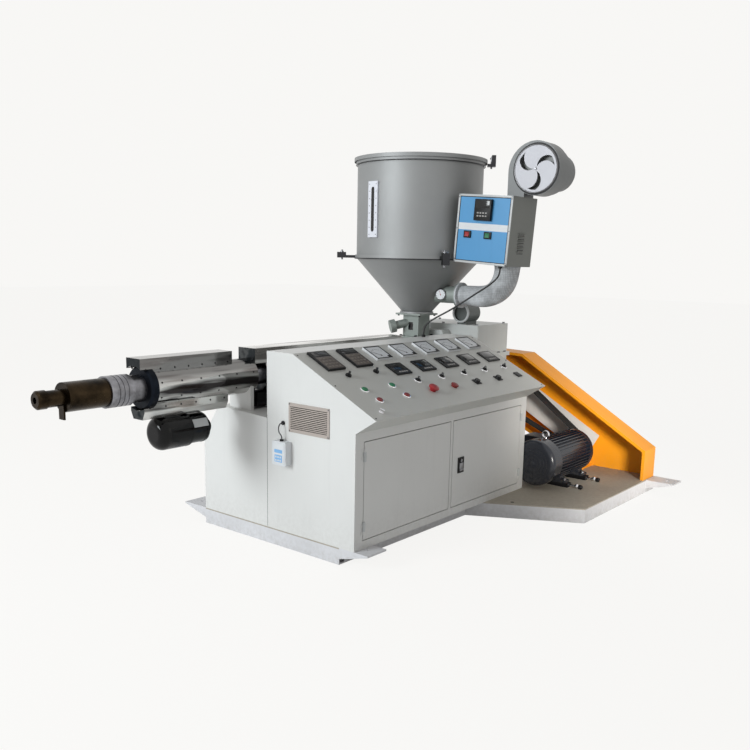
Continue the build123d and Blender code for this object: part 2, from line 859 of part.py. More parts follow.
def radial_plane(azimuth, height=0):
    """Plane on the hopper's axis whose X points outwards at an azimuth and Z points up."""
    turn = math.radians(azimuth)
    return Plane(origin=(hopper_middle_x, 0, height),
                 x_dir=(math.cos(turn), math.sin(turn), 0), z_dir=(0, 0, 1))


def ring(inner_radius, outer_radius, low_z, high_z, mode=Mode.ADD):
    """Add a level ring round the hopper's axis to the part being built."""
    with BuildSketch(Plane(origin=(hopper_middle_x, 0, low_z))) as section:
        Circle(outer_radius)
        if inner_radius > 0:
            Circle(inner_radius, mode=Mode.SUBTRACT)
    extrude(section.sketch, amount=high_z - low_z, mode=mode)


spout_plane = Plane(origin=(hopper_middle_x, 0, gate_z - spout_radius - gate_thickness),
                    x_dir=(math.sin(math.radians(spout_turn)),
                           math.cos(math.radians(spout_turn)), 0),
                    z_dir=(-math.cos(math.radians(spout_turn)),
                           math.sin(math.radians(spout_turn)),
                           -math.sin(math.radians(spout_dip))))
with BuildPart() as throat:
    with BuildSketch(spout_plane):
        Circle(spout_radius)
    extrude(amount=spout_length)
    with BuildSketch(spout_plane.offset(spout_length)):
        Circle(spout_cap_radius)
    extrude(amount=spout_cap_length)
    block(hopper_middle_x - throat_side / 2, hopper_middle_x + throat_side / 2,
          -throat_side / 2, throat_side / 2, throat_bottom_z, gate_z)
    block(hopper_middle_x - throat_side / 2, hopper_middle_x - throat_side / 2 + throat_window_depth,
          -throat_window_width / 2, throat_window_width / 2,
          throat_bottom_z + throat_window_height, throat_bottom_z + 2 * throat_window_height,
          Mode.SUBTRACT)
    block(hopper_middle_x - gate_width / 2, hopper_middle_x + gate_width / 2,
          -throat_side / 2 - throat_foot, throat_side / 2 + throat_foot,
          throat_bottom_z, throat_bottom_z + throat_foot)
    block(hopper_middle_x - gate_width / 2, hopper_middle_x + gate_width / 2,
          -gate_width / 2, gate_width / 2, gate_z, hopper_flange_z)
save(throat, "hopper_throat")

with BuildPart() as hopper_cone:
    with BuildSketch(hopper_section):
        with BuildLine():
            Polyline((cone_outlet_radius, cone_bottom_z), (hopper_radius, waist_height),
                     (hopper_radius - hopper_sheet, waist_height),
                     (cone_outlet_radius - hopper_sheet, cone_bottom_z), close=True)
        make_face()
    revolve(axis=hopper_axis)
    ring(cone_outlet_radius - hopper_sheet, hopper_flange_radius, hopper_flange_z, cone_bottom_z)
save(hopper_cone, "hopper_cone")

with BuildPart() as hopper_cylinder:
    ring(hopper_radius - hopper_sheet, hopper_radius, waist_height, rim_height)
    ring(hopper_radius - hopper_sheet, waist_band_radius, waist_height,
         waist_height + waist_band_height)
    ring(hopper_radius - hopper_sheet, rim_radius, rim_height - rim_band_height, rim_height)
save(hopper_cylinder, "hopper_cylinder")

with BuildPart() as hopper_lid:
    with BuildSketch(hopper_section):
        with BuildLine():
            Polyline((0, rim_height + lid_rise), (lid_flat_radius, rim_height + lid_rise),
                     (lid_radius, rim_height + lid_thickness),
                     (lid_radius, rim_height - lid_edge),
                     (lid_radius - lid_thickness, rim_height - lid_edge),
                     (lid_radius - lid_thickness, rim_height),
                     (lid_flat_radius, rim_height + lid_rise - lid_thickness),
                     (0, rim_height + lid_rise - lid_thickness), close=True)
        make_face()
    revolve(axis=hopper_axis)
save(hopper_lid, "hopper_lid")

# Sight glass, waist hinge, waist latch and rim clamp on the hopper
sight_bottom = waist_height + sight_rise
sight_top = sight_bottom + sight_height
with BuildPart(radial_plane(sight_azimuth)) as sight_glass:
    block(hopper_radius - sight_thickness, hopper_radius + sight_thickness,
          -sight_width / 2, sight_width / 2, sight_bottom, sight_top)
    with Locations((0, 0, waist_height)):
        Cylinder(hopper_radius, 2 * (rim_height - waist_height), mode=Mode.SUBTRACT)
    block(hopper_radius + sight_thickness / 2, hopper_radius + 2 * sight_thickness,
          -sight_slot_width / 2, sight_slot_width / 2,
          sight_bottom + sight_slot_margin, sight_top - sight_slot_margin, Mode.SUBTRACT)
save(sight_glass, "sight_glass")

fittings = Part()
for azimuth, seat_radius, reach, bar_z, low_z, high_z in (
        (hinge_azimuth, waist_band_radius, hinge_reach,
         waist_height, waist_height, waist_height + fitting_rise),
        (latch_azimuth, waist_band_radius, latch_reach,
         waist_height, waist_height - fitting_rise, waist_height + fitting_rise),
        (clamp_azimuth, lid_radius, clamp_reach,
         rim_height - rim_band_height, rim_height - rim_band_height, rim_height + fitting_rise)):
    with BuildPart(radial_plane(azimuth)) as fitting:
        block(seat_radius - fitting_width, seat_radius + reach / 2, -fitting_width / 2,
              fitting_width / 2, bar_z, bar_z + fitting_bar)
        block(seat_radius + reach / 2, seat_radius + reach, -fitting_width / 2,
              fitting_width / 2, low_z, high_z)
        with Locations((0, 0, waist_height)):
            Cylinder(seat_radius, 2 * rim_height, mode=Mode.SUBTRACT)
    fittings += fitting.part
with BuildPart() as hopper_clamps:
    add(fittings)
save(hopper_clamps, "hopper_clamps")

# Dryer beside the hopper: a control box that leans a little, hung on two brackets
dryer_turn = math.radians(dryer_azimuth)
lean = math.radians(dryer_lean)
outward = Vector(math.cos(dryer_turn), math.sin(dryer_turn), 0)
upward = Vector(0, 0, 1)
dryer_bottom = waist_height - dryer_drop
dryer_plane = Plane(origin=Vector(hopper_middle_x, 0, dryer_bottom) + outward * hopper_radius,
                    x_dir=outward * math.cos(lean) - upward * math.sin(lean),
                    z_dir=upward * math.cos(lean) + outward * math.sin(lean))
dryer_back = dryer_depth - dryer_front
dryer_far = dryer_gap + dryer_width
with BuildPart(dryer_plane) as dryer_case:
    block(dryer_gap, dryer_far, -dryer_front, dryer_back, 0, dryer_height)

with BuildPart(dryer_plane) as dryer_brackets:
    for low_share in dryer_bracket_shares:
        block(-dryer_bracket_width, dryer_gap, -dryer_bracket_width / 2, dryer_bracket_width / 2,
              low_share * dryer_height, low_share * dryer_height + dryer_bracket_height)

with BuildPart() as dryer_box:
    add(dryer_case.part)
    add(dryer_brackets.part)
    ring(0, hopper_radius, cone_bottom_z, rim_height, Mode.SUBTRACT)
save(dryer_box, "dryer_box")

panel_middle = dryer_gap + dryer_width / 2
with BuildPart(dryer_plane) as dryer_panel:
    block(dryer_gap + dryer_panel_margin, dryer_far - dryer_panel_margin,
          -dryer_front - dryer_panel_thickness, -dryer_front,
          dryer_panel_margin, dryer_height - dryer_panel_margin)
    block(panel_middle - dryer_controller_width / 2, panel_middle + dryer_controller_width / 2,
          -dryer_front - dryer_controller_depth, -dryer_front,
          dryer_controller_share * dryer_height - dryer_controller_height / 2,
          dryer_controller_share * dryer_height + dryer_controller_height / 2)
    switch_z = dryer_switch_height_share * dryer_height
    for switch_share in dryer_switch_shares:
        switch_x = dryer_gap + switch_share * dryer_width
        block(switch_x - dryer_switch_width / 2, switch_x + dryer_switch_width / 2,
              -dryer_front - dryer_switch_depth, -dryer_front,
              switch_z - dryer_switch_height / 2, switch_z + dryer_switch_height / 2)
save(dryer_panel, "dryer_panel")

# Hot air inlet on the cone and the wrapped duct that feeds it
with BuildPart() as cone_space:
    with BuildSketch(hopper_section):
        with BuildLine():
            Polyline((0, cone_bottom_z), (cone_outlet_radius, cone_bottom_z),
                     (hopper_radius, waist_height), (0, waist_height), close=True)
        make_face()
    revolve(axis=hopper_axis)

inlet_height = cone_bottom_z + inlet_share * cone_height
inlet_plane = Plane(origin=(hopper_middle_x, 0, inlet_height), x_dir=(0, 0, 1),
                    z_dir=tuple(outward))
with BuildPart() as dryer_inlet:
    with BuildSketch(inlet_plane.offset(cone_outlet_radius)):
        Circle(inlet_radius)
    extrude(amount=inlet_reach - cone_outlet_radius)
    with BuildSketch(inlet_plane.offset(inlet_reach - inlet_flange_thickness)):
        Circle(inlet_flange_radius)
    extrude(amount=inlet_flange_thickness)
    add(cone_space.part, mode=Mode.SUBTRACT)
save(dryer_inlet, "dryer_inlet")

duct_plane = Plane(origin=(hopper_middle_x, 0, 0), x_dir=tuple(outward),
                   z_dir=(outward.Y, -outward.X, 0))
duct_seat = dryer_gap + duct_seat_share * dryer_width
duct_end = (hopper_radius + duct_seat * math.cos(lean), dryer_bottom - duct_seat * math.sin(lean))
duct_bend = duct_bend_share * (duct_end[1] - inlet_height)
duct_corner = (duct_end[0] - (duct_end[1] - inlet_height) * math.tan(lean), inlet_height)
with BuildLine(duct_plane) as duct_line:
    FilletPolyline((inlet_reach, inlet_height), duct_corner, duct_end, radius=duct_bend)
duct_path = duct_line.wire()
with BuildPart() as air_duct:
    for share in duct_section_shares:
        with BuildSketch(Plane(origin=duct_path @ share, z_dir=duct_path % share)):
            Circle(duct_start_radius + share * (duct_end_radius - duct_start_radius))
    loft()
    with BuildSketch(inlet_plane.offset(inlet_reach)):
        Circle(inlet_flange_radius)
    extrude(amount=inlet_flange_thickness)
save(air_duct, "air_duct")

# Dryer fan: a scroll of three quarter arcs that grows towards its neck on the box, with
# curved openings in its front plate
fan_face = math.radians(fan_turn)
fan_middle = dryer_plane.from_local_coords(
    Vector(dryer_far + fan_overhang, fan_shift, dryer_height + fan_rise))
fan_plane = Plane(origin=fan_middle, x_dir=(-math.sin(fan_face), math.cos(fan_face), 0),
                  z_dir=(math.cos(fan_face), math.sin(fan_face), 0))
middle_radius = fan_small_radius + fan_growth
large_radius = middle_radius + fan_growth
scroll_left = -fan_growth - large_radius
neck_right = scroll_left + fan_neck_width
neck_bottom = -fan_rise - dryer_height / 4
cutoff = -math.sqrt(fan_small_radius ** 2 - neck_right ** 2)
cutoff_angle = math.degrees(math.atan2(cutoff, neck_right))
root_radius, rim_reach = [share * fan_plate_radius for share in fan_opening_shares]


def on_plate(radius, turn):
    """Point on the fan's front plate at a radius and a turn from its first opening."""
    angle = math.radians(fan_opening_lead + turn)
    return (radius * math.cos(angle), radius * math.sin(angle))


with BuildPart() as fan_case:
    with BuildSketch(fan_plane.offset(-fan_depth / 2)):
        with BuildLine():
            CenterArc((0, 0), fan_small_radius, cutoff_angle, -cutoff_angle)
            CenterArc((-fan_growth, 0), middle_radius, 0, 90)
            CenterArc((-fan_growth, -fan_growth), large_radius, 90, 90)
            Polyline((scroll_left, -fan_growth), (scroll_left, neck_bottom),
                     (neck_right, neck_bottom), (neck_right, cutoff))
        make_face()
    extrude(amount=fan_depth)
    with BuildSketch(fan_plane.offset(fan_depth / 2)):
        Circle(fan_plate_radius)
    extrude(amount=fan_plate_thickness)
    with BuildSketch(fan_plane.offset(fan_depth / 2 + fan_plate_thickness)):
        for number in range(fan_opening_count):
            turn = number * 360 / fan_opening_count
            root = on_plate(root_radius, turn + fan_opening_turns[0])
            rim_start = on_plate(rim_reach, turn)
            rim_end = on_plate(rim_reach, turn + fan_opening_turns[1])
            with BuildLine():
                SagittaArc(root, rim_start, fan_opening_sweep)
                RadiusArc(rim_start, rim_end, -rim_reach)
                SagittaArc(rim_end, root, -fan_opening_sweep)
            make_face()
    extrude(amount=-fan_opening_depth, mode=Mode.SUBTRACT)
    with BuildSketch(fan_plane.offset(-fan_depth / 2 - fan_step_depth)):
        Circle(fan_step_radius)
    extrude(amount=fan_step_depth)
    with BuildSketch(fan_plane.offset(-fan_depth / 2 - fan_step_depth - fan_motor_length)):
        Circle(fan_motor_radius)
    extrude(amount=fan_motor_length)
    add(dryer_case.part, mode=Mode.SUBTRACT)
save(fan_case, "dryer_fan")

# Drive motor lying on two slide rails, with its cowl towards the die end
motor_x = end_x + motor_start
motor_y = door_y - motor_front_reach
motor_core_x = motor_x + motor_cowl_length
motor_shield_x = motor_x + motor_length - motor_shield_length
motor_end_x = motor_x + motor_length
rail_top_z = base_height + slide_rail_height
with BuildPart() as motor_cowl:
    bar_along_x(motor_x, motor_core_x, motor_cowl_radius, motor_y, motor_height)
    fillet(motor_cowl.edges().filter_by(GeomType.CIRCLE).sort_by(Axis.X)[0],
           motor_cowl_length / 4)
save(motor_cowl, "motor_cowl")

with BuildPart() as motor_body:
    with BuildSketch(Plane.YZ.offset(motor_core_x)) as finned_section:
        with Locations((motor_y, motor_height)):
            Circle(motor_core_radius)
            with PolarLocations(motor_core_radius, motor_fin_count):
                Rectangle(2 * (motor_fin_radius - motor_core_radius), motor_fin_width)
    extrude(amount=motor_shield_x - motor_core_x)
    bar_along_x(motor_shield_x, motor_end_x, motor_shield_radius, motor_y, motor_height)
    bar_along_x(motor_end_x, pulley_x, motor_shaft_radius, motor_y, motor_height)
    for foot_place in motor_foot_places:
        foot_x = motor_x + foot_place - motor_foot_length / 2
        block(foot_x, foot_x + motor_foot_length, motor_y - motor_foot_width / 2,
              motor_y + motor_foot_width / 2, rail_top_z, rail_top_z + motor_foot_height)
        block(foot_x, foot_x + motor_foot_length, motor_y - motor_riser_width / 2,
              motor_y + motor_riser_width / 2, rail_top_z, rail_top_z + motor_riser_height)
    box_x = (motor_core_x + motor_shield_x) / 2
    block(box_x - motor_box_length / 2, box_x + motor_box_length / 2, motor_y,
          motor_y + motor_fin_radius + motor_box_width, motor_height,
          motor_height + motor_box_height)
    eye_z = motor_height + motor_fin_radius + eyebolt_radius
    with BuildSketch(Plane(origin=(motor_x + eyebolt_place, motor_y, eye_z), z_dir=(0, 1, 0))):
        with Locations((eyebolt_radius, 0)):
            Circle(eyebolt_wire)
    revolve(axis=Axis((motor_x + eyebolt_place, motor_y, eye_z), (1, 0, 0)))
save(motor_body, "motor_body")

with BuildPart() as slide_rails:
    for foot_place in motor_foot_places:
        rail_x = motor_x + foot_place
        rail_front_y = motor_y - slide_rail_length / 2
        block(rail_x - slide_rail_width / 2, rail_x + slide_rail_width / 2, rail_front_y,
              motor_y + slide_rail_length / 2, base_height, rail_top_z)
        with BuildSketch(Plane(origin=(rail_x, rail_front_y, base_height + slide_rail_height / 2),
                               z_dir=(0, -1, 0))):
            Circle(slide_bolt_radius)
        extrude(amount=slide_bolt_length)
        with BuildSketch(Plane(origin=(rail_x, rail_front_y - slide_bolt_length,
                                       base_height + slide_rail_height / 2), z_dir=(0, -1, 0))):
            RegularPolygon(slide_bolt_head_radius, 6)
        extrude(amount=slide_bolt_head_length)
save(slide_rails, "slide_rails")

# Pulleys and belts
input_y = -input_shaft_offset
pulley_width = belt_count * belt_pitch + 2 * pulley_cheek
shaft_places = ((motor_y, motor_height, motor_pulley_radius),
                (input_y, input_shaft_height, gearbox_pulley_radius))
belt_starts = [pulley_x + pulley_cheek + (belt_pitch - belt_width) / 2 + number * belt_pitch
               for number in range(belt_count)]
with BuildPart() as pulleys:
    for place_y, place_z, radius in shaft_places:
        bar_along_x(pulley_x, pulley_x + pulley_width, radius, place_y, place_z)
        for belt_x in belt_starts:
            with BuildSketch(Plane.YZ.offset(belt_x)) as belt_groove:
                with Locations((place_y, place_z)):
                    Circle(radius + belt_proud)
                    Circle(radius + belt_proud - belt_thickness, mode=Mode.SUBTRACT)
            extrude(belt_groove.sketch, amount=belt_width, mode=Mode.SUBTRACT)
save(pulleys, "drive_pulleys")

with BuildPart() as belts:
    for belt_x in belt_starts:
        with BuildSketch(Plane.YZ.offset(belt_x)) as belt_outline:
            for place_y, place_z, radius in shaft_places:
                with Locations((place_y, place_z)):
                    Circle(radius + belt_proud)
            make_hull()
        with BuildSketch(Plane.YZ.offset(belt_x)) as belt_inside:
            for place_y, place_z, radius in shaft_places:
                with Locations((place_y, place_z)):
                    Circle(radius + belt_proud - belt_thickness)
            make_hull()
        extrude(belt_outline.sketch - belt_inside.sketch, amount=belt_width)
save(belts, "drive_belts")

# Belt guard: a sheet tray on its edge, open towards the motor, standing on the deck
guard_x = end_x + guard_start
guard_end_x = guard_x + guard_depth
guard_outline = [(motor_y - guard_end_reach, base_height),
                 (motor_y, base_height),
                 (input_y + guard_back_reach, input_shaft_height - guard_heel_drop),
                 (input_y + guard_back_reach, input_shaft_height + guard_back_rise),
                 (input_y - guard_bend_reach, input_shaft_height + guard_bend_rise),
                 (motor_y - guard_end_reach, motor_height + guard_end_rise)]


def guard_inside(thickness):
    """The guard's outline less a wall, carried down through its open foot."""
    corners = inset(guard_outline, thickness)
    return [(corners[0][0], base_height), (corners[1][0], base_height)] + corners[1:]


with BuildPart() as belt_guard:
    plate_across_x(guard_outline, guard_x, guard_end_x)
    plate_across_x(guard_inside(guard_sheet), guard_x + guard_sheet, guard_end_x - guard_sheet,
                   Mode.SUBTRACT)
    plate_across_x(guard_inside(guard_lip), guard_x, guard_x + guard_sheet, Mode.SUBTRACT)
save(belt_guard, "belt_guard")

run = Vector(input_y - motor_y, input_shaft_height - motor_height)
across = Vector(-run.Y, run.X).normalized() * (belt_back_plate_width / 2)
back_plate_x = end_x + belt_back_plate_start
with BuildPart() as belt_back_plate:
    corners = []
    for share, side in zip((belt_back_plate_end_shares[0],) * 2 + (belt_back_plate_end_shares[1],) * 2,
                           (1, -1, -1, 1)):
        corner = Vector(motor_y, motor_height) + run * share + across * side
        corners.append((corner.X, corner.Y))
    plate_across_x(corners, back_plate_x, back_plate_x + belt_back_plate_thickness)
    for share in belt_back_plate_spacer_shares:
        place = Vector(motor_y, motor_height) + run * share
        bar_along_x(back_plate_x, guard_end_x - guard_sheet, belt_back_plate_spacer_radius,
                    place.X, place.Y)
save(belt_back_plate, "belt_back_plate")

# Instruments on the sloping console
console_rise = console_height - nose_height
slope_length = math.hypot(slope_run, console_rise)
console_plane = Plane(origin=(end_x, nose_y, nose_height), x_dir=(1, 0, 0),
                      z_dir=(0, -console_rise, slope_run))


def console_block(place_share, up_share, width, height, depth):
    """Add an instrument's block at its place on the console to the part being built."""
    along = place_share * cabinet_length
    up = up_share * slope_length
    block(along - width / 2, along + width / 2, up - height / 2, up + height / 2, 0, depth)


def console_knob(place_share, up_share, radius, depth):
    """Add a round button at its place on the console to the part being built."""
    with Locations((place_share * cabinet_length, up_share * slope_length, depth / 2)):
        Cylinder(radius, depth)


with BuildPart(console_plane) as meters:
    for number in range(instrument_count):
        console_block(meter_first_share + number * meter_pitch_share, meter_up_share,
                      meter_width, meter_height, meter_depth)
save(meters, "panel_meters")

with BuildPart(console_plane) as controllers:
    for number in range(instrument_count):
        console_block(controller_first_share + number * controller_pitch_share,
                      controller_up_share, controller_width, controller_height, controller_depth)
save(controllers, "temperature_controllers")

with BuildPart(console_plane) as keypads:
    for place_share in keypad_place_shares:
        console_block(place_share, keypad_up_share, keypad_width, keypad_height, keypad_depth)
save(keypads, "drive_keypads")

with BuildPart(console_plane) as selectors:
    for number in range(instrument_count):
        console_knob(selector_first_share + number * selector_pitch_share, selector_up_share,
                     selector_radius, selector_depth)
save(selectors, "selector_switches")

with BuildPart(console_plane) as buttons:
    for place_share, up_share in button_place_shares:
        console_knob(place_share, up_share, button_radius, button_depth)
    console_knob(*stop_place_share, stop_radius, stop_depth)
    for place_share, up_share in lock_place_shares:
        console_block(place_share, up_share, lock_side, lock_side, lock_depth)
save(buttons, "push_buttons")

# Small box on the die-end panel, with its cable, and the cable from the dryer
junction_y = door_y + junction_place
junction_top_z = junction_bottom + junction_height
with BuildPart() as junction_box:
    block(end_x - junction_depth, end_x, junction_y - junction_width / 2,
          junction_y + junction_width / 2, junction_bottom, junction_top_z)
    fillet(junction_box.edges().filter_by(Axis.X), junction_width / 12)
save(junction_box, "junction_box")

gland_places = (
    (dryer_plane.from_local_coords(Vector(dryer_far - dryer_gland_inset,
                                          -dryer_front + dryer_gland_front_inset, 0)),
     -dryer_plane.z_dir, gland_radius, gland_length),
    (Vector(end_x + console_gland_place, door_y + console_gland_depth, console_height),
     Vector(0, 0, 1), gland_radius, gland_length),
    (Vector(end_x, junction_y + grommet_shift, grommet_height), Vector(-1, 0, 0),
     grommet_radius, grommet_length),
    (Vector(end_x - junction_depth / 2, junction_y, junction_top_z), Vector(0, 0, 1),
     grommet_radius, grommet_length))
with BuildPart() as glands:
    for foot, leaving, radius, length in gland_places:
        with BuildSketch(Plane(origin=foot, z_dir=leaving)):
            Circle(radius)
        extrude(amount=length)
        print("gland face", foot + leaving * length)
save(glands, "cable_glands")


def cable(route, radius, name):
    """Build a cable of straight runs and tangent arcs, and print its bends."""
    bends = []
    for before, here, after in zip(route, route[1:], route[2:]):
        arriving = Vector(*here) - Vector(*before)
        leaving = Vector(*after) - Vector(*here)
        half_turn = math.radians(arriving.get_angle(leaving)) / 2
        bends.append(cable_bend_share * min(arriving.length, leaving.length) / math.tan(half_turn))
    with BuildPart() as tube:
        with BuildLine() as path:
            FilletPolyline(*route, radius=bends)
        with BuildSketch(Plane(origin=route[0], z_dir=Vector(*route[1]) - Vector(*route[0]))):
            Circle(radius)
        sweep()
    length = path.wire().length
    print(name, "length", round(length), "bends", [round(bend) for bend in bends],
          "volume share", round(tube.part.volume / (math.pi * radius ** 2 * length), 4))
    save(tube, name)


cable(dryer_cable_route, dryer_cable_radius, "dryer_cable")
cable(junction_cable_route, junction_cable_radius, "junction_cable")
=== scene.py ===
# %% [markdown]
# A plastic extruder, dressed over its solid model. The solid model gives every shape that
# has a real size. This lesson adds what a photograph shows on top of those shapes: the
# finish of each surface, the faces of the instruments, the screws and the two cables.
# Each step first says what the thing is on the real machine, then how it is made here.

# %% Load the solid model
import json
import math

import bmesh
import bpy
from mathutils import Matrix, Vector

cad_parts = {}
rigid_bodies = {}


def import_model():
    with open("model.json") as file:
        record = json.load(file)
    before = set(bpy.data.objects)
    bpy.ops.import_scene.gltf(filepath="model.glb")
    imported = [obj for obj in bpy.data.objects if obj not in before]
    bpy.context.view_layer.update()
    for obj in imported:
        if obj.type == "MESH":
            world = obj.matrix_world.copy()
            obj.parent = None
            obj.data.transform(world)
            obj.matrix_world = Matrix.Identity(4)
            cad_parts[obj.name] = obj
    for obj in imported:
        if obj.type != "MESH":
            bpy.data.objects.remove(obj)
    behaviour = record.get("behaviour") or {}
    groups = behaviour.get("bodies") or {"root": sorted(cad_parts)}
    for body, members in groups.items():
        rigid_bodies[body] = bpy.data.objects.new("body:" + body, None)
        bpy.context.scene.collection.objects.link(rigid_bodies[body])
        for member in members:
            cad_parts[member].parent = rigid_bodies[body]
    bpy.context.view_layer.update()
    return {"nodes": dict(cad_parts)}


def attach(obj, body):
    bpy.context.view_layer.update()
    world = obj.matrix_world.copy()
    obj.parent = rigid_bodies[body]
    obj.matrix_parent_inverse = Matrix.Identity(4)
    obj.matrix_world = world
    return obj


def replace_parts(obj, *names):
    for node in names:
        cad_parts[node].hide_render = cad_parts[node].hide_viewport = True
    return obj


for leftover in list(bpy.data.objects):
    bpy.data.objects.remove(leftover)
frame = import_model()
nodes = frame["nodes"]
print("solid nodes:", len(nodes))

# %% [markdown]
# The camera stands where the photographer stood, a little in front of the die end and at
# eye height. Its place and its three turns were worked out from the straight edges of the
# machine. The lens is a little longer than normal, and a small upward shift stands for the
# part of the picture that was cut away. The camera comes first because every later choice
# is judged through it.

# %% Camera
CAMERA_PLACE = Vector((-3.3786, -3.8490, 1.6864))
CAMERA_YAW = math.radians(50.8)
CAMERA_PITCH = math.radians(-10.8)
CAMERA_ROLL = math.radians(1.1)
FOCAL_SHARE = 834.9 / 750
SENSOR_WIDTH = 36.0
SHIFT_UP = 0.0616


def aim_camera():
    """Stand the camera at its place, turned by its yaw, pitch and roll."""
    ahead = Vector((math.sin(CAMERA_YAW) * math.cos(CAMERA_PITCH),
                    math.cos(CAMERA_YAW) * math.cos(CAMERA_PITCH), math.sin(CAMERA_PITCH)))
    right = ahead.cross(Vector((0, 0, 1))).normalized()
    up = right.cross(ahead)
    right, up = (right * math.cos(CAMERA_ROLL) + up * math.sin(CAMERA_ROLL),
                 up * math.cos(CAMERA_ROLL) - right * math.sin(CAMERA_ROLL))
    lens = bpy.data.cameras.new("camera")
    lens.sensor_width = SENSOR_WIDTH
    lens.lens = FOCAL_SHARE * SENSOR_WIDTH
    lens.shift_y = SHIFT_UP
    camera = bpy.data.objects.new("camera", lens)
    turn = Matrix((right, up, -ahead)).transposed().to_4x4()
    camera.matrix_world = Matrix.Translation(CAMERA_PLACE) @ turn
    bpy.context.collection.objects.link(camera)
    bpy.context.scene.camera = camera


aim_camera()
print("camera at", tuple(round(value, 3) for value in CAMERA_PLACE))

# %% [markdown]
# Shader trees are easier to read as sums than as wires. One small class stands for an
# output socket, and Python's own signs add the nodes. A second class holds a material's
# tree and has the one method that makes any other node.

# %% Sockets that can be added and multiplied


class Value:
    """An output socket that varies over a surface, with Python's arithmetic."""

    def __init__(self, tree, socket):
        self.tree = tree
        self.socket = socket

    def math(self, operation, *values):
        """Put the values through one Math node."""
        return self.tree.add("ShaderNodeMath", {"operation": operation}, *values)

    def __add__(self, other):
        return self.math("ADD", self, other)

    def __sub__(self, other):
        return self.math("SUBTRACT", self, other)

    def __mul__(self, other):
        return self.math("MULTIPLY", self, other)

    def __rsub__(self, other):
        return self.math("SUBTRACT", other, self)

    def above(self, level):
        """1 where the value is above the level, and 0 elsewhere."""
        return self.math("GREATER_THAN", self, level)

    def below(self, level):
        """1 where the value is below the level, and 0 elsewhere."""
        return self.math("LESS_THAN", self, level)

    def ramp(self, low, high):
        """0 below one level, 1 above the other, and even in between."""
        return self.tree.add("ShaderNodeMapRange", {"clamp": True}, self, low, high, 0.0, 1.0)


class Tree:
    """A tree of nodes, with one method that makes any node."""

    def __init__(self, tree):
        self.tree = tree

    def add(self, kind, settings, *values, output=0, **named):
        """Make a node, give it its settings, then its inputs in order or by name."""
        node = self.tree.nodes.new(kind)
        for key, setting in settings.items():
            setattr(node, key, setting)
        pairs = list(zip(node.inputs, values))
        pairs += [(node.inputs[key.replace("_", " ")], value) for key, value in named.items()]
        for socket, value in pairs:
            self.feed(socket, value)
        return Value(self, node.outputs[output])

    def feed(self, socket, value):
        """Link a value, or several, to an input, or set the number or colour it holds."""
        if isinstance(value, Value):
            self.tree.links.new(value.socket, socket)
        elif isinstance(value, list):
            for part in value:
                self.tree.links.new(part.socket, socket)
        else:
            socket.default_value = value


class Finish(Tree):
    """A material that starts from the plain surface shader."""

    def __init__(self, name):
        self.material = bpy.data.materials.new(name)
        self.material.use_nodes = True
        super().__init__(self.material.node_tree)
        self.surface = self.tree.nodes["Principled BSDF"]
        self.where = self.add("ShaderNodeTexCoord", {}, output="Object")

    def set(self, **sockets):
        """Feed the surface shader's own sockets."""
        for key, value in sockets.items():
            self.feed(self.surface.inputs[key.replace("_", " ")], value)
        return self

    def noise(self, scale, detail=3.0, rough=0.5, stretch=(1, 1, 1)):
        """Cloudy noise of a given scale, stretched along the machine's axes."""
        stretched = self.add("ShaderNodeMapping", {}, Vector=self.where, Scale=stretch)
        return self.add("ShaderNodeTexNoise", {}, Vector=stretched, Scale=scale,
                        Detail=detail, Roughness=rough, output="Fac")

    def axis(self, letter):
        """The place along one axis, in metres."""
        return self.add("ShaderNodeSeparateXYZ", {}, self.where, output=letter)

    def facing(self, letter):
        """How far the surface looks along one axis, from -1 to 1."""
        normal = self.add("ShaderNodeNewGeometry", {}, output="True Normal")
        return self.add("ShaderNodeSeparateXYZ", {}, normal, output=letter)

    def mix(self, amount, first, second):
        """Colour between two colours."""
        mixed = self.add("ShaderNodeMix", {"data_type": "RGBA"}, amount, output=2)
        for socket, colour in zip(mixed.socket.node.inputs[6:8], (first, second)):
            self.feed(socket, colour)
        return mixed

    def bump(self, height, strength, distance=0.001):
        """Feed the surface's normal with a relief."""
        made = self.add("ShaderNodeBump", {}, Height=height, Strength=strength,
                        Distance=distance, output="Normal")
        self.feed(self.surface.inputs["Normal"], made)
        return self


def shade(red, green, blue):
    """A colour written as the red, green and blue that a screen shows."""
    def linear(part):
        return part / 12.92 if part <= 0.04045 else ((part + 0.055) / 1.055) ** 2.4
    return (linear(red), linear(green), linear(blue), 1.0)


def lit(colour, amount):
    """The same colour, made lighter or darker."""
    return tuple(min(1.0, part * amount) for part in colour[:3]) + (1.0,)


# %% [markdown]
# Most of the machine is sprayed sheet or cast iron. Spray paint is nearly one colour, but
# it clouds a little, its gloss is uneven where hands and rags have been, and dust lies on
# it near the floor. Three noises of very different sizes give that.

# %% Painted finishes
DUST = shade(0.55, 0.52, 0.47)


def painted(name, colour, gloss, cloud, dust, dust_top=0.5):
    """Sprayed paint with soft clouds, uneven gloss and dust low down."""
    finish = Finish(name)
    clouds = finish.noise(2.2, 3.0)
    fine = finish.noise(38.0, 4.0, 0.6)
    streaks = finish.noise(6.0, 4.0, 0.6, stretch=(3.0, 3.0, 0.25))
    body = finish.mix(clouds.ramp(0.3, 0.7), lit(colour, 1 - cloud), lit(colour, 1 + cloud))
    worn = finish.mix(streaks.ramp(0.55, 0.85) * 0.3, body, lit(colour, 0.85))
    settled = (1 - finish.axis("Z").ramp(0.0, dust_top)) * fine.ramp(0.35, 0.75) * dust
    finish.set(Base_Color=finish.mix(settled, worn, DUST),
               Roughness=(fine * 0.12 + gloss - 0.06 + settled * 0.3))
    return finish.bump(finish.noise(260.0, 2.0), 0.06, 0.0004)


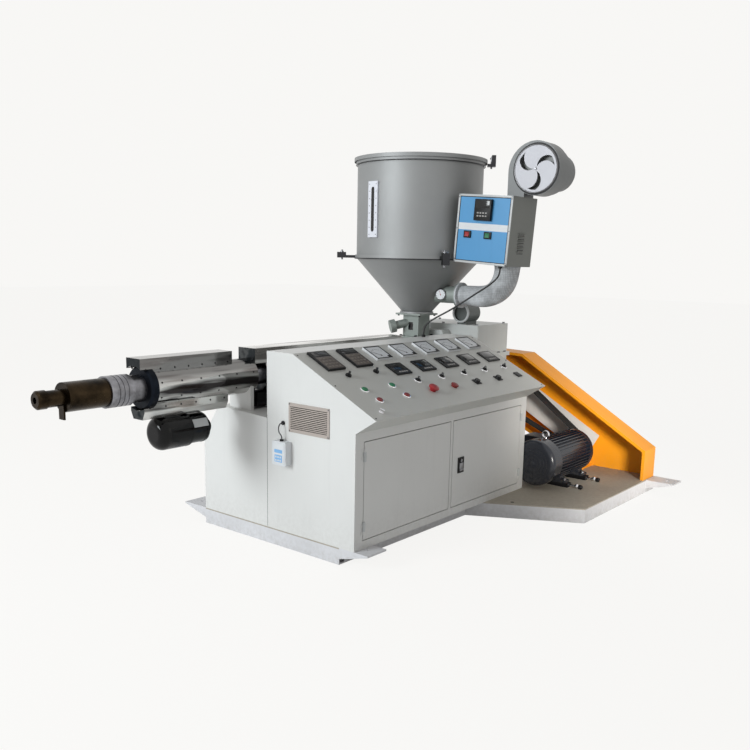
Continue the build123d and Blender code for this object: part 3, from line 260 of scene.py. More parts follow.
frame_paint = painted("frame paint", shade(0.81, 0.81, 0.82), 0.5, 0.06, 0.35, 0.12)
# The deck's darker beige is painted shade over white paint; the dust low down is dust.
shaded_deck_paint = painted("deck paint", shade(0.64, 0.61, 0.56), 0.55, 0.16, 0.55, 0.3)
cabinet_paint = painted("cabinet paint", shade(0.84, 0.84, 0.83), 0.38, 0.02, 0.25, 0.3)
machine_paint = painted("machine paint", shade(0.78, 0.79, 0.78), 0.38, 0.05, 0.2, 0.6)
guard_paint = painted("guard paint", shade(0.89, 0.58, 0.11), 0.4, 0.06, 0.15, 0.3)
guard_paint.set(Specular_IOR_Level=0.2)
# The console's sloping face: a darker copy of the cabinet paint, painted shade.
shaded_console_paint = painted("console paint", shade(0.76, 0.76, 0.74), 0.42, 0.02, 0.0)
plate_paint = painted("speckled plate", shade(0.74, 0.73, 0.72), 0.45, 0.16, 0.2)
motor_paint = painted("motor paint", shade(0.115, 0.13, 0.165), 0.2, 0.15, 0.25, 0.35)
blower_paint = painted("blower paint", shade(0.02, 0.02, 0.025), 0.12, 0.2, 0.0)
blower_paint.set(Specular_IOR_Level=0.22)
cap_paint = painted("cap paint", shade(0.36, 0.38, 0.37), 0.4, 0.1, 0.0)
grille_paint = painted("grille paint", shade(0.66, 0.62, 0.59), 0.45, 0.05, 0.0)
box_paint = painted("dryer box paint", shade(0.44, 0.45, 0.43), 0.42, 0.06, 0.0)
rim_paint = painted("dryer rim paint", shade(0.74, 0.75, 0.75), 0.35, 0.03, 0.0)
panel_blue = painted("panel blue", shade(0.30, 0.58, 0.78), 0.3, 0.03, 0.0)

# %% [markdown]
# The fan's case is dark and its front plate is pale, and both are one solid. The paint is
# chosen by depth along the fan's own axis: what lies in the last millimetres is the plate,
# and everything deeper, such as the inside of the curved openings, is the case.

# %% Two-tone fan paint
MILLIMETRE = 0.001
HOPPER_X = 1822
HOPPER_RADIUS = 468
DRYER_TURN = math.radians(-92)
DRYER_LEAN = math.radians(4)
DRYER_OUT = Vector((math.cos(DRYER_TURN), math.sin(DRYER_TURN), 0))
DRYER_FACE = DRYER_OUT * math.cos(DRYER_LEAN) - Vector((0, 0, 1)) * math.sin(DRYER_LEAN)
DRYER_UP = Vector((0, 0, 1)) * math.cos(DRYER_LEAN) + DRYER_OUT * math.sin(DRYER_LEAN)
DRYER_SIDE = DRYER_UP.cross(DRYER_FACE)
DRYER_ORIGIN = Vector((HOPPER_X, 0, 1702)) + DRYER_OUT * HOPPER_RADIUS


def dryer_point(out, side, up):
    """A point of the dryer's own frame, in the machine's millimetres."""
    return DRYER_ORIGIN + DRYER_FACE * out + DRYER_SIDE * side + DRYER_UP * up


FAN_TURN = math.radians(182)
FAN_AXIS = Vector((math.cos(FAN_TURN), math.sin(FAN_TURN), 0))
FAN_MIDDLE = dryer_point(504, 13, 647)
FAN_PLATE_DEPTH = 77.0

fan_paint = Finish("fan paint")
fan_depth = fan_paint.add("ShaderNodeVectorMath", {"operation": "DOT_PRODUCT"},
                          fan_paint.where, tuple(FAN_AXIS), output="Value")
fan_front = FAN_MIDDLE.dot(FAN_AXIS) + FAN_PLATE_DEPTH
fan_plate = fan_depth.above(fan_front * MILLIMETRE)
fan_cloud = fan_paint.noise(9.0, 4.0, 0.6)
fan_case = fan_paint.mix(fan_cloud, shade(0.34, 0.35, 0.35), shade(0.50, 0.51, 0.51))
fan_face = fan_paint.mix(fan_cloud, shade(0.72, 0.72, 0.75), shade(0.80, 0.80, 0.82))
fan_paint.set(Base_Color=fan_paint.mix(fan_plate, fan_case, fan_face),
              Roughness=fan_cloud * 0.2 + 0.3)
fan_paint.bump(fan_paint.noise(300.0, 2.0), 0.08, 0.0004)

# %% [markdown]
# Stainless sheet and turned steel both carry fine lines from the tool that finished them.
# The lines follow the belt of the polisher on a sheet, and run round the axis on a lathe.
# A noise that is squeezed hard along one axis draws such lines. It feeds the roughness
# and a very shallow relief. The hoods and covers round the barrel are polished almost to a
# mirror. A real one shows long dark and bright bands, because thin sheet never lies quite
# flat; here these bands are painted reflections in the base colour, and the top of the front
# cover gets a painted darker reflection too. What faces the die end would mirror the dark
# side of the workshop, so it gets a painted dark reflection.

# %% Bare metal finishes


def sheet_metal(name, colour, rough, squeeze, strength=0.12, stain=0.1, metal=1.0):
    """Brushed sheet whose lines run along the axis that is squeezed least."""
    finish = Finish(name)
    lines = finish.noise(60.0, 5.0, 0.7, stretch=squeeze)
    clouds = finish.noise(3.0, 4.0, 0.55)
    stained = finish.mix(clouds.ramp(0.35, 0.75) * stain, colour, lit(colour, 0.6))
    finish.set(Base_Color=stained, Metallic=metal,
               Roughness=lines * 0.18 + rough + clouds * 0.08)
    return finish.bump(lines, strength, 0.0002)


# Painted reflections of the polished covers, mixed into their base colour: the dark end, the
# edge of each band and the darker top.
PAINTED_END_REFLECTION_SHARE = 0.92
PAINTED_END_REFLECTION = shade(0.10, 0.13, 0.15)
PAINTED_BAND_EDGE_REFLECTION = shade(0.46, 0.41, 0.39)
PAINTED_CROWN_REFLECTION = shade(0.30, 0.29, 0.29)


def mirror_metal(name, bright, dark, rough=0.07, crown_reflection_share=0.0):
    """Polished thin sheet with painted reflections in its colour: long soft bands along X,
    darker high up and at its end.
    """
    finish = Finish(name)
    waves = finish.noise(3.4, 3.0, 0.5, stretch=(0.35, 3.2, 3.2))
    smears = finish.noise(16.0, 4.0, 0.6, stretch=(0.25, 2.0, 2.0))
    # The bright and dark bands, their edges, the darker top and the dark end are painted
    # reflections.
    band = waves.ramp(0.50, 0.60)
    edge = (1 - waves.ramp(0.38, 0.44)) * 0.6
    body = finish.mix(band, bright, dark)
    body = finish.mix(edge, body, PAINTED_BAND_EDGE_REFLECTION)
    body = finish.mix(finish.axis("Z").ramp(0.99, 1.05) * crown_reflection_share, body, PAINTED_CROWN_REFLECTION)
    front = finish.facing("X").below(-0.8) * PAINTED_END_REFLECTION_SHARE
    finish.set(Base_Color=finish.mix(front, body, PAINTED_END_REFLECTION), Metallic=1.0,
               Roughness=smears.ramp(0.4, 0.8) * 0.12 + rough)
    return finish.bump(waves * 0.8 + smears * 0.2, 0.35, 0.006)


def turned_metal(name, colour, rough, stain_colour, stain):
    """Lathe-turned steel with rings round the screw's axis and heat stains."""
    finish = Finish(name)
    rings = finish.noise(90.0, 4.0, 0.7, stretch=(9.0, 0.3, 0.3))
    clouds = finish.noise(9.0, 5.0, 0.6)
    finish.set(Base_Color=finish.mix(clouds.ramp(0.35, 0.7) * stain, colour, stain_colour),
               Metallic=1.0, Roughness=rings * 0.2 + rough + clouds.ramp(0.4, 0.7) * 0.15)
    return finish.bump(rings, 0.15, 0.0003)


# The bright and dark colours of both covers are painted reflection bands; the front cover also
# gets the painted darker top.
cover_steel = mirror_metal("polished cover steel", shade(0.80, 0.80, 0.79),
                           shade(0.22, 0.21, 0.21), 0.09, 0.75)
rear_steel = mirror_metal("polished rear cover", shade(0.93, 0.93, 0.92),
                          shade(0.50, 0.49, 0.48), 0.2)
hopper_steel = sheet_metal("hopper steel", shade(0.58, 0.585, 0.585), 0.42,
                           (6.0, 6.0, 0.12), 0.08, 0.2, 0.45)
throat_steel = sheet_metal("throat steel", shade(0.58, 0.61, 0.59), 0.4,
                           (3.0, 3.0, 1.0), 0.1, 0.5, 0.3)
fitting_steel = sheet_metal("fitting steel", shade(0.52, 0.52, 0.53), 0.2, (2.0, 2.0, 2.0),
                            0.1, 0.9)
dark_fitting = sheet_metal("darkened fitting steel", shade(0.26, 0.26, 0.27), 0.22,
                           (2.0, 2.0, 2.0), 0.1, 0.9)
chrome = sheet_metal("bright plating", shade(0.90, 0.90, 0.91), 0.06, (1.0, 1.0, 1.0), 0.03)
window_frame = sheet_metal("sight glass frame", shade(0.86, 0.87, 0.90), 0.3, (6.0, 6.0, 0.4),
                           0.05, 0.1, 0.4)
collar_steel = turned_metal("turned steel", shade(0.58, 0.58, 0.60), 0.2,
                            shade(0.24, 0.23, 0.22), 0.8)
hot_steel = turned_metal("oiled dark steel", shade(0.22, 0.18, 0.13), 0.16,
                         shade(0.045, 0.038, 0.03), 1.0)
flange_steel = turned_metal("blued flange steel", shade(0.11, 0.13, 0.16), 0.22,
                            shade(0.05, 0.05, 0.06), 0.6)
pulley_steel = turned_metal("pulley iron", shade(0.45, 0.45, 0.46), 0.4,
                            shade(0.28, 0.26, 0.25), 0.6)
dark_iron = turned_metal("dark iron", shade(0.20, 0.20, 0.21), 0.45,
                         shade(0.12, 0.11, 0.11), 0.6)

# %% [markdown]
# Rubber, plastic and the woven tape round the hot air duct are small areas, but an eye goes
# to them. Each has one relief of its own: a grain for plastic, a weave for tape. The tape
# winds round a duct that bends. Two waves, along Z and along Y, are multiplied into a net,
# which looks the same on the level stretch and on the rising one, and clouds break it up.

# %% Plastic, rubber and tape


def moulded(name, colour, rough, grain=0.08):
    """Moulded plastic or rubber with a fine grain."""
    finish = Finish(name)
    wear = finish.noise(24.0, 4.0, 0.6)
    finish.set(Base_Color=finish.mix(wear.ramp(0.4, 0.8) * 0.2, colour, lit(colour, 1.4)),
               Roughness=wear * 0.12 + rough)
    return finish.bump(finish.noise(900.0, 2.0), grain, 0.0002)


def wrapped(name, colour):
    """Woven insulating tape wound on a duct."""
    finish = Finish(name)
    rising, level_run = (finish.add("ShaderNodeTexWave",
                                    {"wave_type": "BANDS", "bands_direction": letter},
                                    Vector=finish.where, Scale=26.0, Distortion=2.5,
                                    Detail=3.0, output="Fac") for letter in "ZY")
    net = rising * level_run
    clouds = finish.noise(11.0, 5.0, 0.65)
    pale = net.ramp(0.0, 0.4) * 0.35 + clouds.ramp(0.35, 0.65) * 0.65
    finish.set(Base_Color=finish.mix(pale, lit(colour, 0.5), lit(colour, 1.15)),
               Roughness=clouds * 0.3 + 0.6)
    return finish.bump(net * 0.6 + finish.noise(420.0, 2.0) * 0.4, 0.6, 0.004)


black_plastic = moulded("black plastic", shade(0.055, 0.055, 0.06), 0.4)
black_plastic.set(Specular_IOR_Level=0.25)
dark_glass = moulded("display glass", shade(0.05, 0.05, 0.06), 0.06, 0.0)
brown_plastic = moulded("keypad plastic", shade(0.30, 0.27, 0.25), 0.45)
key_plastic = moulded("key plastic", shade(0.62, 0.61, 0.60), 0.45)
dull_key_plastic = moulded("dull key plastic", shade(0.40, 0.37, 0.34), 0.45)
belt_rubber = moulded("belt rubber", shade(0.07, 0.07, 0.07), 0.7, 0.2)
cable_black = moulded("black cable sheath", shade(0.04, 0.04, 0.04), 0.4)
cable_grey = moulded("grey cable sheath", shade(0.34, 0.34, 0.35), 0.5)
white_plastic = moulded("white plastic", shade(0.84, 0.85, 0.86), 0.35)
red_plastic = moulded("red plastic", shade(0.60, 0.09, 0.12), 0.25)
dull_red_plastic = moulded("dull red plastic", shade(0.47, 0.11, 0.10), 0.35)
green_plastic = moulded("green plastic", shade(0.05, 0.42, 0.26), 0.3)
pale_blue_plastic = moulded("pale blue plastic", shade(0.50, 0.70, 0.88), 0.35)
duct_tape = wrapped("duct tape", shade(0.80, 0.81, 0.82))

# %% Give each solid node its finish
FINISHES = {
    frame_paint: ("base_long_rails", "base_cross_rails", "platform_rim", "floor_ears"),
    shaded_deck_paint: ("deck_plate",),
    shaded_console_paint: ("console_panel",),
    cabinet_paint: ("die_end_panel", "drive_end_panel", "cabinet_floor", "cabinet_back",
                    "door_frame", "left_door", "right_door", "rear_housing",
                    "barrel_support"),
    machine_paint: ("gearbox", "gearbox_stand", "thrust_housing"),
    plate_paint: ("belt_back_plate",),
    cover_steel: ("front_cover", "front_hood", "lower_hood"),
    rear_steel: ("rear_cover",),
    collar_steel: ("grooved_collar", "barrel"),
    hot_steel: ("die_adaptor",),
    flange_steel: ("barrel_flange",),
    pulley_steel: ("drive_pulleys",),
    dark_iron: ("feed_block", "slide_rails"),
    hopper_steel: ("hopper_cone", "hopper_cylinder", "hopper_lid"),
    throat_steel: ("hopper_throat", "dryer_inlet"),
    dark_fitting: ("hopper_clamps",),
    window_frame: ("sight_glass",),
    box_paint: ("dryer_box",),
    fan_paint: ("dryer_fan",),
    panel_blue: ("dryer_panel",),
    duct_tape: ("air_duct",),
    motor_paint: ("motor_body", "motor_cowl"),
    blower_paint: ("barrel_blower",),
    cap_paint: ("oil_pump",),
    guard_paint: ("belt_guard",),
    belt_rubber: ("drive_belts",),
    black_plastic: ("temperature_controllers", "drive_keypads", "selector_switches",
                    "cable_glands", "push_buttons", "door_latch"),
    white_plastic: ("panel_meters", "junction_box"),
    grille_paint: ("vent_grille",),
    cable_black: ("dryer_cable",),
    cable_grey: ("junction_cable",),
}


def give(piece, finish):
    """Make a finish the only material of a piece."""
    piece.data.materials.clear()
    piece.data.materials.append(finish.material)


for finish, names in FINISHES.items():
    for name in names:
        give(nodes[name], finish)
bare = [name for name in nodes if not any(name in names for names in FINISHES.values())]
print("nodes without a finish:", bare)

# %% [markdown]
# The two cables are the only limp things on the machine. A cable has a fixed length and
# bends smoothly, so each is a curve whose points are those of its tube in the solid model,
# read as the control points of a smooth spline. The curve's own round section makes the
# sheath.

# %% Cables
DRYER_CABLE_ROUTE = [(1617.3, -846.3, 1659), (1617.2, -844, 1622), (1615, -820, 1584),
                     (1604, -765, 1538), (1583, -684, 1485), (1557, -599, 1424),
                     (1527, -510, 1363), (1499, -429, 1316), (1479, -369, 1278),
                     (1470, -341, 1247), (1466, -330, 1216), (1466, -330, 1182)]
JUNCTION_CABLE_ROUTE = [(-34, -428, 758), (-48, -428, 758), (-60, -429, 751),
                        (-67, -430.5, 738), (-69, -432, 722), (-66, -434, 706),
                        (-57, -436.7, 694), (-49, -438, 681.5), (-49, -438, 666)]


def run_length(points):
    """Length of the straight runs of a route, in metres."""
    return sum((Vector(b) - Vector(a)).length for a, b in zip(points, points[1:])) * MILLIMETRE


def cable(name, route, diameter, length, finish, node):
    """Lay a smooth cable along a route in place of the plain tube."""
    curve = bpy.data.curves.new(name, "CURVE")
    curve.dimensions = "3D"
    curve.bevel_depth = diameter / 2
    curve.bevel_resolution = 4
    curve.use_fill_caps = True
    spline = curve.splines.new("NURBS")
    spline.points.add(len(route) - 1)
    for point, place in zip(spline.points, route):
        point.co = (*(part * MILLIMETRE for part in place), 1.0)
    spline.order_u = 3
    spline.use_endpoint_u = True
    spline.resolution_u = 8
    piece = bpy.data.objects.new(name, curve)
    bpy.context.collection.objects.link(piece)
    curve.materials.append(finish.material)
    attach(piece, "machine")
    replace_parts(piece, node)
    print(name, "runs", round(run_length(route), 3), "m, stated", length, "m")


cable("dryer_lead", DRYER_CABLE_ROUTE, 0.012, 0.753, cable_black, "dryer_cable")
cable("junction_lead", JUNCTION_CABLE_ROUTE, 0.007, 0.119, cable_grey, "junction_cable")

# %% [markdown]
# Everything that follows is small hardware. Each thing is described where it stands: a
# place has an origin in millimetres, a direction that runs along, and a direction that
# points out of the surface.

# %% Places
RIGHT, LEFT = (1, 0, 0), (-1, 0, 0)
FRONT, BACK = (0, -1, 0), (0, 1, 0)
UP = (0, 0, 1)


def row(start, step, count):
    """Evenly spaced numbers."""
    return [start + step * number for number in range(count)]


def stand(origin, along, out):
    """A place whose X runs along, whose Z points out, and whose unit is the millimetre."""
    out = Vector(out).normalized()
    along = Vector(along)
    along = (along - out * along.dot(out)).normalized()
    turn = Matrix((along, out.cross(along), out)).transposed().to_4x4()
    return (Matrix.Translation(Vector(origin) * MILLIMETRE) @ turn
            @ Matrix.Scale(MILLIMETRE, 4))


def moved(place, right=0.0, up=0.0, out=0.0, turn=0.0):
    """The same place, moved within its own surface and turned about its own normal."""
    return (place @ Matrix.Translation((right, up, out))
            @ Matrix.Rotation(math.radians(turn), 4, "Z"))


def on_top(x, y, z):
    """A place on a level surface."""
    return stand((x, y, z), RIGHT, UP)


def on_side(origin, out):
    """A place on an upright surface, whose X runs level."""
    return stand(origin, Vector(UP).cross(Vector(out)), out)


def grid(place, alongs, ups, out=0.0):
    """Places in columns and rows on one surface."""
    return [moved(place, along, up, out) for along in alongs for up in ups]


def spokes(place, radius, turns):
    """Places round a middle, each of whose X points away from it."""
    return [moved(moved(place, turn=turn), radius) for turn in turns]


# %% [markdown]
# One class collects blocks, turned shapes and flat cut shapes into a mesh, and makes it a
# piece that rides on a body. Most turned shapes are discs, studs or hoops. Most finishes
# belong to one slot of the machine, and a piece that belongs to another one names it.

# %% Shapes
SHARP_ANGLE = math.radians(35)
ROUND_STEPS = 28
FRAME_EDGE = 0.4
USUAL_SLOTS = {
    "instrument_black": (black_plastic, dark_glass, brown_plastic, dull_key_plastic),
    "instrument_white": (white_plastic, key_plastic),
    "button_plastic": (red_plastic, dull_red_plastic, green_plastic),
    "machined_steel": (fitting_steel, chrome),
    "hopper_steel": (box_paint, dark_fitting),
    "blower_paint": (blower_paint, cap_paint),
    "dark_iron": (dark_iron,),
    "motor_paint": (motor_paint,),
    "dryer_blue": (pale_blue_plastic,),
}


def usual_slot(finish):
    """The slot that a finish belongs to."""
    return next(slot for slot, finishes in USUAL_SLOTS.items() if finish in finishes)


def circle(radius, turns):
    """Points at the given turns of a circle."""
    return [(math.cos(math.radians(turn)) * radius, math.sin(math.radians(turn)) * radius)
            for turn in turns]


def disc(radius, height, low=0):
    """The profile of a plain disc."""
    return [(0, low), (radius, low), (radius, height), (0, height)]


def stud(radius, shoulder, top_radius, height):
    """The profile of a disc that narrows above its shoulder."""
    return [(0, 0), (radius, 0), (radius, shoulder), (top_radius, height), (0, height)]


def hoop(inner, outer, low, high):
    """The profile of a flat ring."""
    return [(inner, low), (outer, low), (outer, high), (inner, high), (inner, low)]


class Shape:
    """A mesh in the making, built of closed solids."""

    def __init__(self):
        self.mesh = bmesh.new()

    def take(self, part, place):
        """Turn a solid's faces outwards and add it at its place."""
        bmesh.ops.recalc_face_normals(part, faces=part.faces)
        part.transform(place)
        spare = bpy.data.meshes.new("spare")
        part.to_mesh(spare)
        part.free()
        self.mesh.from_mesh(spare)
        bpy.data.meshes.remove(spare)
        return self

    def block(self, place, low, high, edge=0.0):
        """A block between two corners, with its edges rounded over."""
        part = bmesh.new()
        bmesh.ops.create_cube(part, size=1.0)
        for corner in part.verts:
            corner.co = [(start + end) / 2 + share * (end - start)
                         for start, end, share in zip(low, high, corner.co)]
        if edge:
            bmesh.ops.bevel(part, geom=part.edges[:], offset=edge, segments=2,
                            affect="EDGES", profile=0.6)
        return self.take(part, place)

    def rim(self, place, half_width, half_height, wall, height):
        """Four strips round a rectangle."""
        for side in (-1, 1):
            left, right = sorted((side * half_width, side * (half_width - wall)))
            foot, head = sorted((side * half_height, side * (half_height - wall)))
            self.block(place, (left, -half_height, 0), (right, half_height, height),
                       FRAME_EDGE)
            self.block(place, (-half_width, foot, 0), (half_width, head, height), FRAME_EDGE)
        return self

    def turned(self, place, profile, steps=ROUND_STEPS):
        """A turned solid whose profile is a list of radius and height."""
        part = bmesh.new()
        rings = []
        for radius, height in profile:
            count = steps if radius else 1
            turns = [2 * math.pi * step / steps for step in range(count)]
            rings.append([part.verts.new((radius * math.cos(turn), radius * math.sin(turn),
                                          height)) for turn in turns])
        if profile[0] == profile[-1]:
            rings[-1] = rings[0]
        for low, high in zip(rings, rings[1:]):
            for step in range(steps):
                ahead = step + 1
                corners = [low[step % len(low)], low[ahead % len(low)],
                           high[ahead % len(high)], high[step % len(high)]]
                part.faces.new(list(dict.fromkeys(corners)))
        loose = [corner for corner in part.verts if not corner.link_faces]
        bmesh.ops.delete(part, geom=loose, context="VERTS")
        return self.take(part, place)

    def cut_out(self, place, outline, low, high):
        """A flat shape whose outline is a list of points."""
        part = bmesh.new()
        foot = [part.verts.new((*point, low)) for point in outline]
        head = [part.verts.new((*point, high)) for point in outline]
        part.faces.new(foot)
        part.faces.new(head)
        for index in range(len(outline)):
            part.faces.new([foot[index - 1], foot[index], head[index], head[index - 1]])
        return self.take(part, place)

    def piece(self, name, finish, slot=None, body="machine"):
        """Finish the mesh and let it ride on a body."""
        for edge in self.mesh.edges:
            edge.smooth = (len(edge.link_faces) == 2
                           and edge.calc_face_angle(0.0) < SHARP_ANGLE)
        for face in self.mesh.faces:
            face.smooth = True
        mesh = bpy.data.meshes.new(name)
        self.mesh.to_mesh(mesh)
        self.mesh.free()
        return dressed(bpy.data.objects.new(name, mesh), finish, slot, body)


def dressed(piece, finish, slot, body="machine"):
    """Give a new piece its finish and the body that it rides on; its slot is looked up but not
    kept.
    """
    bpy.context.collection.objects.link(piece)
    give(piece, finish)
    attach(piece, body)
    slot or usual_slot(finish)
    print(piece.name, "has", len(piece.data.polygons), "faces")
    return piece


def blocks(name, finish, places, low, high, edge=0.0, slot=None):
    """The same block at each place, as one piece."""
    shape = Shape()
    for place in places:
        shape.block(place, low, high, edge)
    return shape.piece(name, finish, slot)


def turnings(name, finish, places, profile, steps=ROUND_STEPS, slot=None):
    """The same turned shape at each place, as one piece."""
    shape = Shape()
    for place in places:
        shape.turned(place, profile, steps)
    return shape.piece(name, finish, slot)


# %% [markdown]
# Screws, rivets, bolts, louvres, keys and scale marks repeat many times. A mesh of points
# says where each copy goes and how it is turned, and a tree of geometry nodes puts the same
# small shape on every point. One tree turns a head on a washer, with as many sides as
# asked, so it makes round screws and hexagon bolts alike. The other makes flat bars.

# %% Trees that repeat a shape


class Pattern(Tree):
    """A geometry tree that puts one small shape on every point of a mesh."""

    def __init__(self, name, **sizes):
        super().__init__(bpy.data.node_groups.new(name, "GeometryNodeTree"))
        sockets = self.tree.interface
        sockets.new_socket("Geometry", in_out="INPUT", socket_type="NodeSocketGeometry")
        sockets.new_socket("Material", in_out="INPUT", socket_type="NodeSocketMaterial")
        for label, size in sizes.items():
            kind = "NodeSocketInt" if isinstance(size, int) else "NodeSocketFloat"
            sockets.new_socket(label, in_out="INPUT", socket_type=kind).default_value = size
        sockets.new_socket("Geometry", in_out="OUTPUT", socket_type="NodeSocketGeometry")
        given = self.add("NodeGroupInput", {}).socket.node
        self.points, self.material, *self.sizes = [Value(self, socket)
                                                   for socket in given.outputs if socket.name]
        self.result = self.tree.nodes.new("NodeGroupOutput")

    def lifted(self, shape, height):
        """A shape moved up by a height."""
        rise = self.add("ShaderNodeCombineXYZ", {}, Z=height)
        return self.add("GeometryNodeTransform", {}, Geometry=shape, Translation=rise)

    def cone(self, sides, foot, head, height):
        """A cone cut off at the top, which is a disc where both radii are the same."""
        return self.add("GeometryNodeMeshCone", {}, Vertices=sides, Radius_Top=head,
                        Radius_Bottom=foot, Depth=height, output="Mesh")

    def repeat(self, shape):
        """Put the shape on the points, make it real and give it its material."""
        small = self.add("GeometryNodeTransform", {}, Geometry=shape,
                         Scale=(MILLIMETRE,) * 3)
        turn = self.add("GeometryNodeInputNamedAttribute", {"data_type": "FLOAT_VECTOR"},
                        Name="turn")
        rotation = self.add("FunctionNodeEulerToRotation", {}, turn)
        copies = self.add("GeometryNodeInstanceOnPoints", {}, Points=self.points,
                          Instance=small, Rotation=rotation)
        real = self.add("GeometryNodeRealizeInstances", {}, copies)
        coated = self.add("GeometryNodeSetMaterial", {}, Geometry=real,
                          Material=self.material)
        self.feed(self.result.inputs[0], coated)
        return self


WASHER_SIDES = 16


def fastener_tree():
    """A head on a washer, with any number of sides."""
    tree = Pattern("fasteners", head_radius=4.0, top_share=0.7, head_height=2.0, sides=12,
                   washer_radius=5.0, washer_height=0.5)
    head_radius, top_share, head_height, sides, washer_radius, washer_height = tree.sizes
    washer = tree.cone(WASHER_SIDES, washer_radius, washer_radius, washer_height)
    head = tree.cone(sides, head_radius, head_radius * top_share, head_height)
    raised = tree.lifted(head, washer_height)
    return tree.repeat(tree.add("GeometryNodeJoinGeometry", {}, Geometry=[washer, raised]))


def bar_tree():
    """A flat bar that stands on its point."""
    tree = Pattern("bars", length=10.0, width=2.0, height=1.0)
    length, width, height = tree.sizes
    size = tree.add("ShaderNodeCombineXYZ", {}, length, width, height)
    bar = tree.add("GeometryNodeMeshCube", {}, Size=size, output="Mesh")
    return tree.repeat(tree.lifted(bar, height * 0.5))


FASTENERS = fastener_tree()
BARS = bar_tree()


def copies(name, tree, places, finish, slot, **sizes):
    """Put a tree's shape at each place and make the result a plain mesh."""
    mesh = bpy.data.meshes.new("points")
    mesh.from_pydata([place.translation for place in places], [], [])
    turns = mesh.attributes.new("turn", "FLOAT_VECTOR", "POINT")
    for point, place in zip(turns.data, places):
        point.vector = place.decompose()[1].to_euler()
    carrier = bpy.data.objects.new("points", mesh)
    bpy.context.collection.objects.link(carrier)
    modifier = carrier.modifiers.new("repeat", "NODES")
    modifier.node_group = tree.tree
    for socket in tree.tree.interface.items_tree:
        if socket.in_out == "INPUT" and socket.name in sizes:
            modifier[socket.identifier] = sizes[socket.name]
        if socket.in_out == "INPUT" and socket.name == "Material":
            modifier[socket.identifier] = finish.material
    ready = carrier.evaluated_get(bpy.context.evaluated_depsgraph_get())
    made = bpy.data.meshes.new_from_object(ready)
    made.name = name
    carrier.modifiers.remove(modifier)
    bpy.data.objects.remove(carrier)
    return dressed(bpy.data.objects.new(name, made), finish, slot)


def screws(name, places, finish, head, washer, slot=None):
    """A low round head on a thin washer at each place."""
    return copies(name, FASTENERS, places, finish, slot, head_radius=head,
                  washer_radius=washer)


def bolts(name, places, finish, head, height, washer, washer_height, top_share=1.0,
          slot=None):
    """A hexagon head on a washer at each place."""
    return copies(name, FASTENERS, places, finish, slot, head_radius=head,
                  top_share=top_share, head_height=height, sides=6, washer_radius=washer,
                  washer_height=washer_height)


def bars(name, places, finish, length, width, height, slot=None):
    """A flat bar at each place."""
    return copies(name, BARS, places, finish, slot, length=length, width=width,
                  height=height)


# %% [markdown]
# The console carries five panel meters, five temperature controllers, two drive keypads,
# five selectors and a row of push buttons. The solid model has their bodies. A meter gets
# a thin black frame, a scale, a needle and a small black corner. A controller gets a dark
# window and four keys, and a keypad a brown face with keys under its window.

# %% Meters, controllers and keypads
CONSOLE = stand((-24, -1122, 860), RIGHT, (0, -306, 624))
METERS = [moved(CONSOLE, along, 599, 14) for along in row(657, 255, 5)]
CONTROLLERS = [moved(CONSOLE, along, 416, 10) for along in row(663, 258, 5)]
KEYPADS = [moved(CONSOLE, along, 581, 14) for along in (172, 421)]
NEEDLE_PIN = (-4, -36)
NEEDLE_TURN = 138

meter_frames = Shape()
meter_needles = Shape()
for place in METERS:
    meter_frames.rim(place, 74, 68, 7, 2.2).block(place, (44, -62, 0), (66, -42, 2.0), 0.5)
    meter_needles.block(moved(place, *NEEDLE_PIN, 1.0, NEEDLE_TURN),
                        (-6, -0.9, 0), (62, 0.9, 0.8))
    meter_needles.turned(moved(place, *NEEDLE_PIN), stud(5, 2, 3.5, 2.6), 16)
meter_frames.piece("meter_frames", black_plastic)
meter_needles.piece("meter_needles", black_plastic)
bars("meter_scales", [mark for place in METERS
                      for mark in spokes(moved(place, *NEEDLE_PIN), 68, row(40, 10, 11))],
     black_plastic, 9.0, 1.6, 0.4)

blocks("controller_windows", dark_glass, CONTROLLERS, (-60, -14, 0), (60, 48, 1.2), 0.5)
bars("controller_keys",
     [moved(place, along, -38) for place in CONTROLLERS for along in row(-30, 22, 4)],
     key_plastic, 15.0, 11.0, 1.6)
blocks("keypad_faces", brown_plastic, KEYPADS, (-66, -90, 0), (66, 32, 1.5), 0.6)
blocks("keypad_windows", dark_glass, KEYPADS, (-60, 40, 0), (60, 86, 1.5), 0.6)
bars("keypad_keys", [key for place in KEYPADS
                     for key in grid(place, row(-42, 28, 4), row(-72, 28, 4), 1.5)],
     dull_key_plastic, 17.0, 12.0, 1.6)

# %% [markdown]
# A push button is a coloured cap in a bright ring, a selector is a black knob with a raised
# bar, and the stop button is a red mushroom. These are turned shapes, so each is one
# profile spun round its own axis.

# %% Buttons, selectors and the key lock
RING = [(19, 0), (26, 0), (26, 3), (23, 6), (19, 6), (19, 0)]
CAP = [(0, 0), (18.5, 0), (18.5, 9), (16, 12), (0, 13)]
KNOB = stud(18.5, 9, 16.5, 11)
MUSHROOM = [(0, 0), (20, 0), (20, 14), (33, 18), (34, 24), (29, 30), (16, 34), (0, 35)]
RAISED_RED = [(0, 0), (20, 0), (20, 8), (25, 11), (25, 16), (20, 19), (0, 20)]
SELECTORS = [(along, 280) for along in row(700, 252, 5)]
GREEN_CAPS = [(191, 272), (438, 272)]
RED_CAPS = [(204, 162), (453, 162)]
LEVER_KNOBS = [(205, 422), (453, 422)]
SQUARE_KNOBS = [(1211, 171), (1470, 169)]
KEY_LOCK = (105, 61)
KNOB_TURN = 35

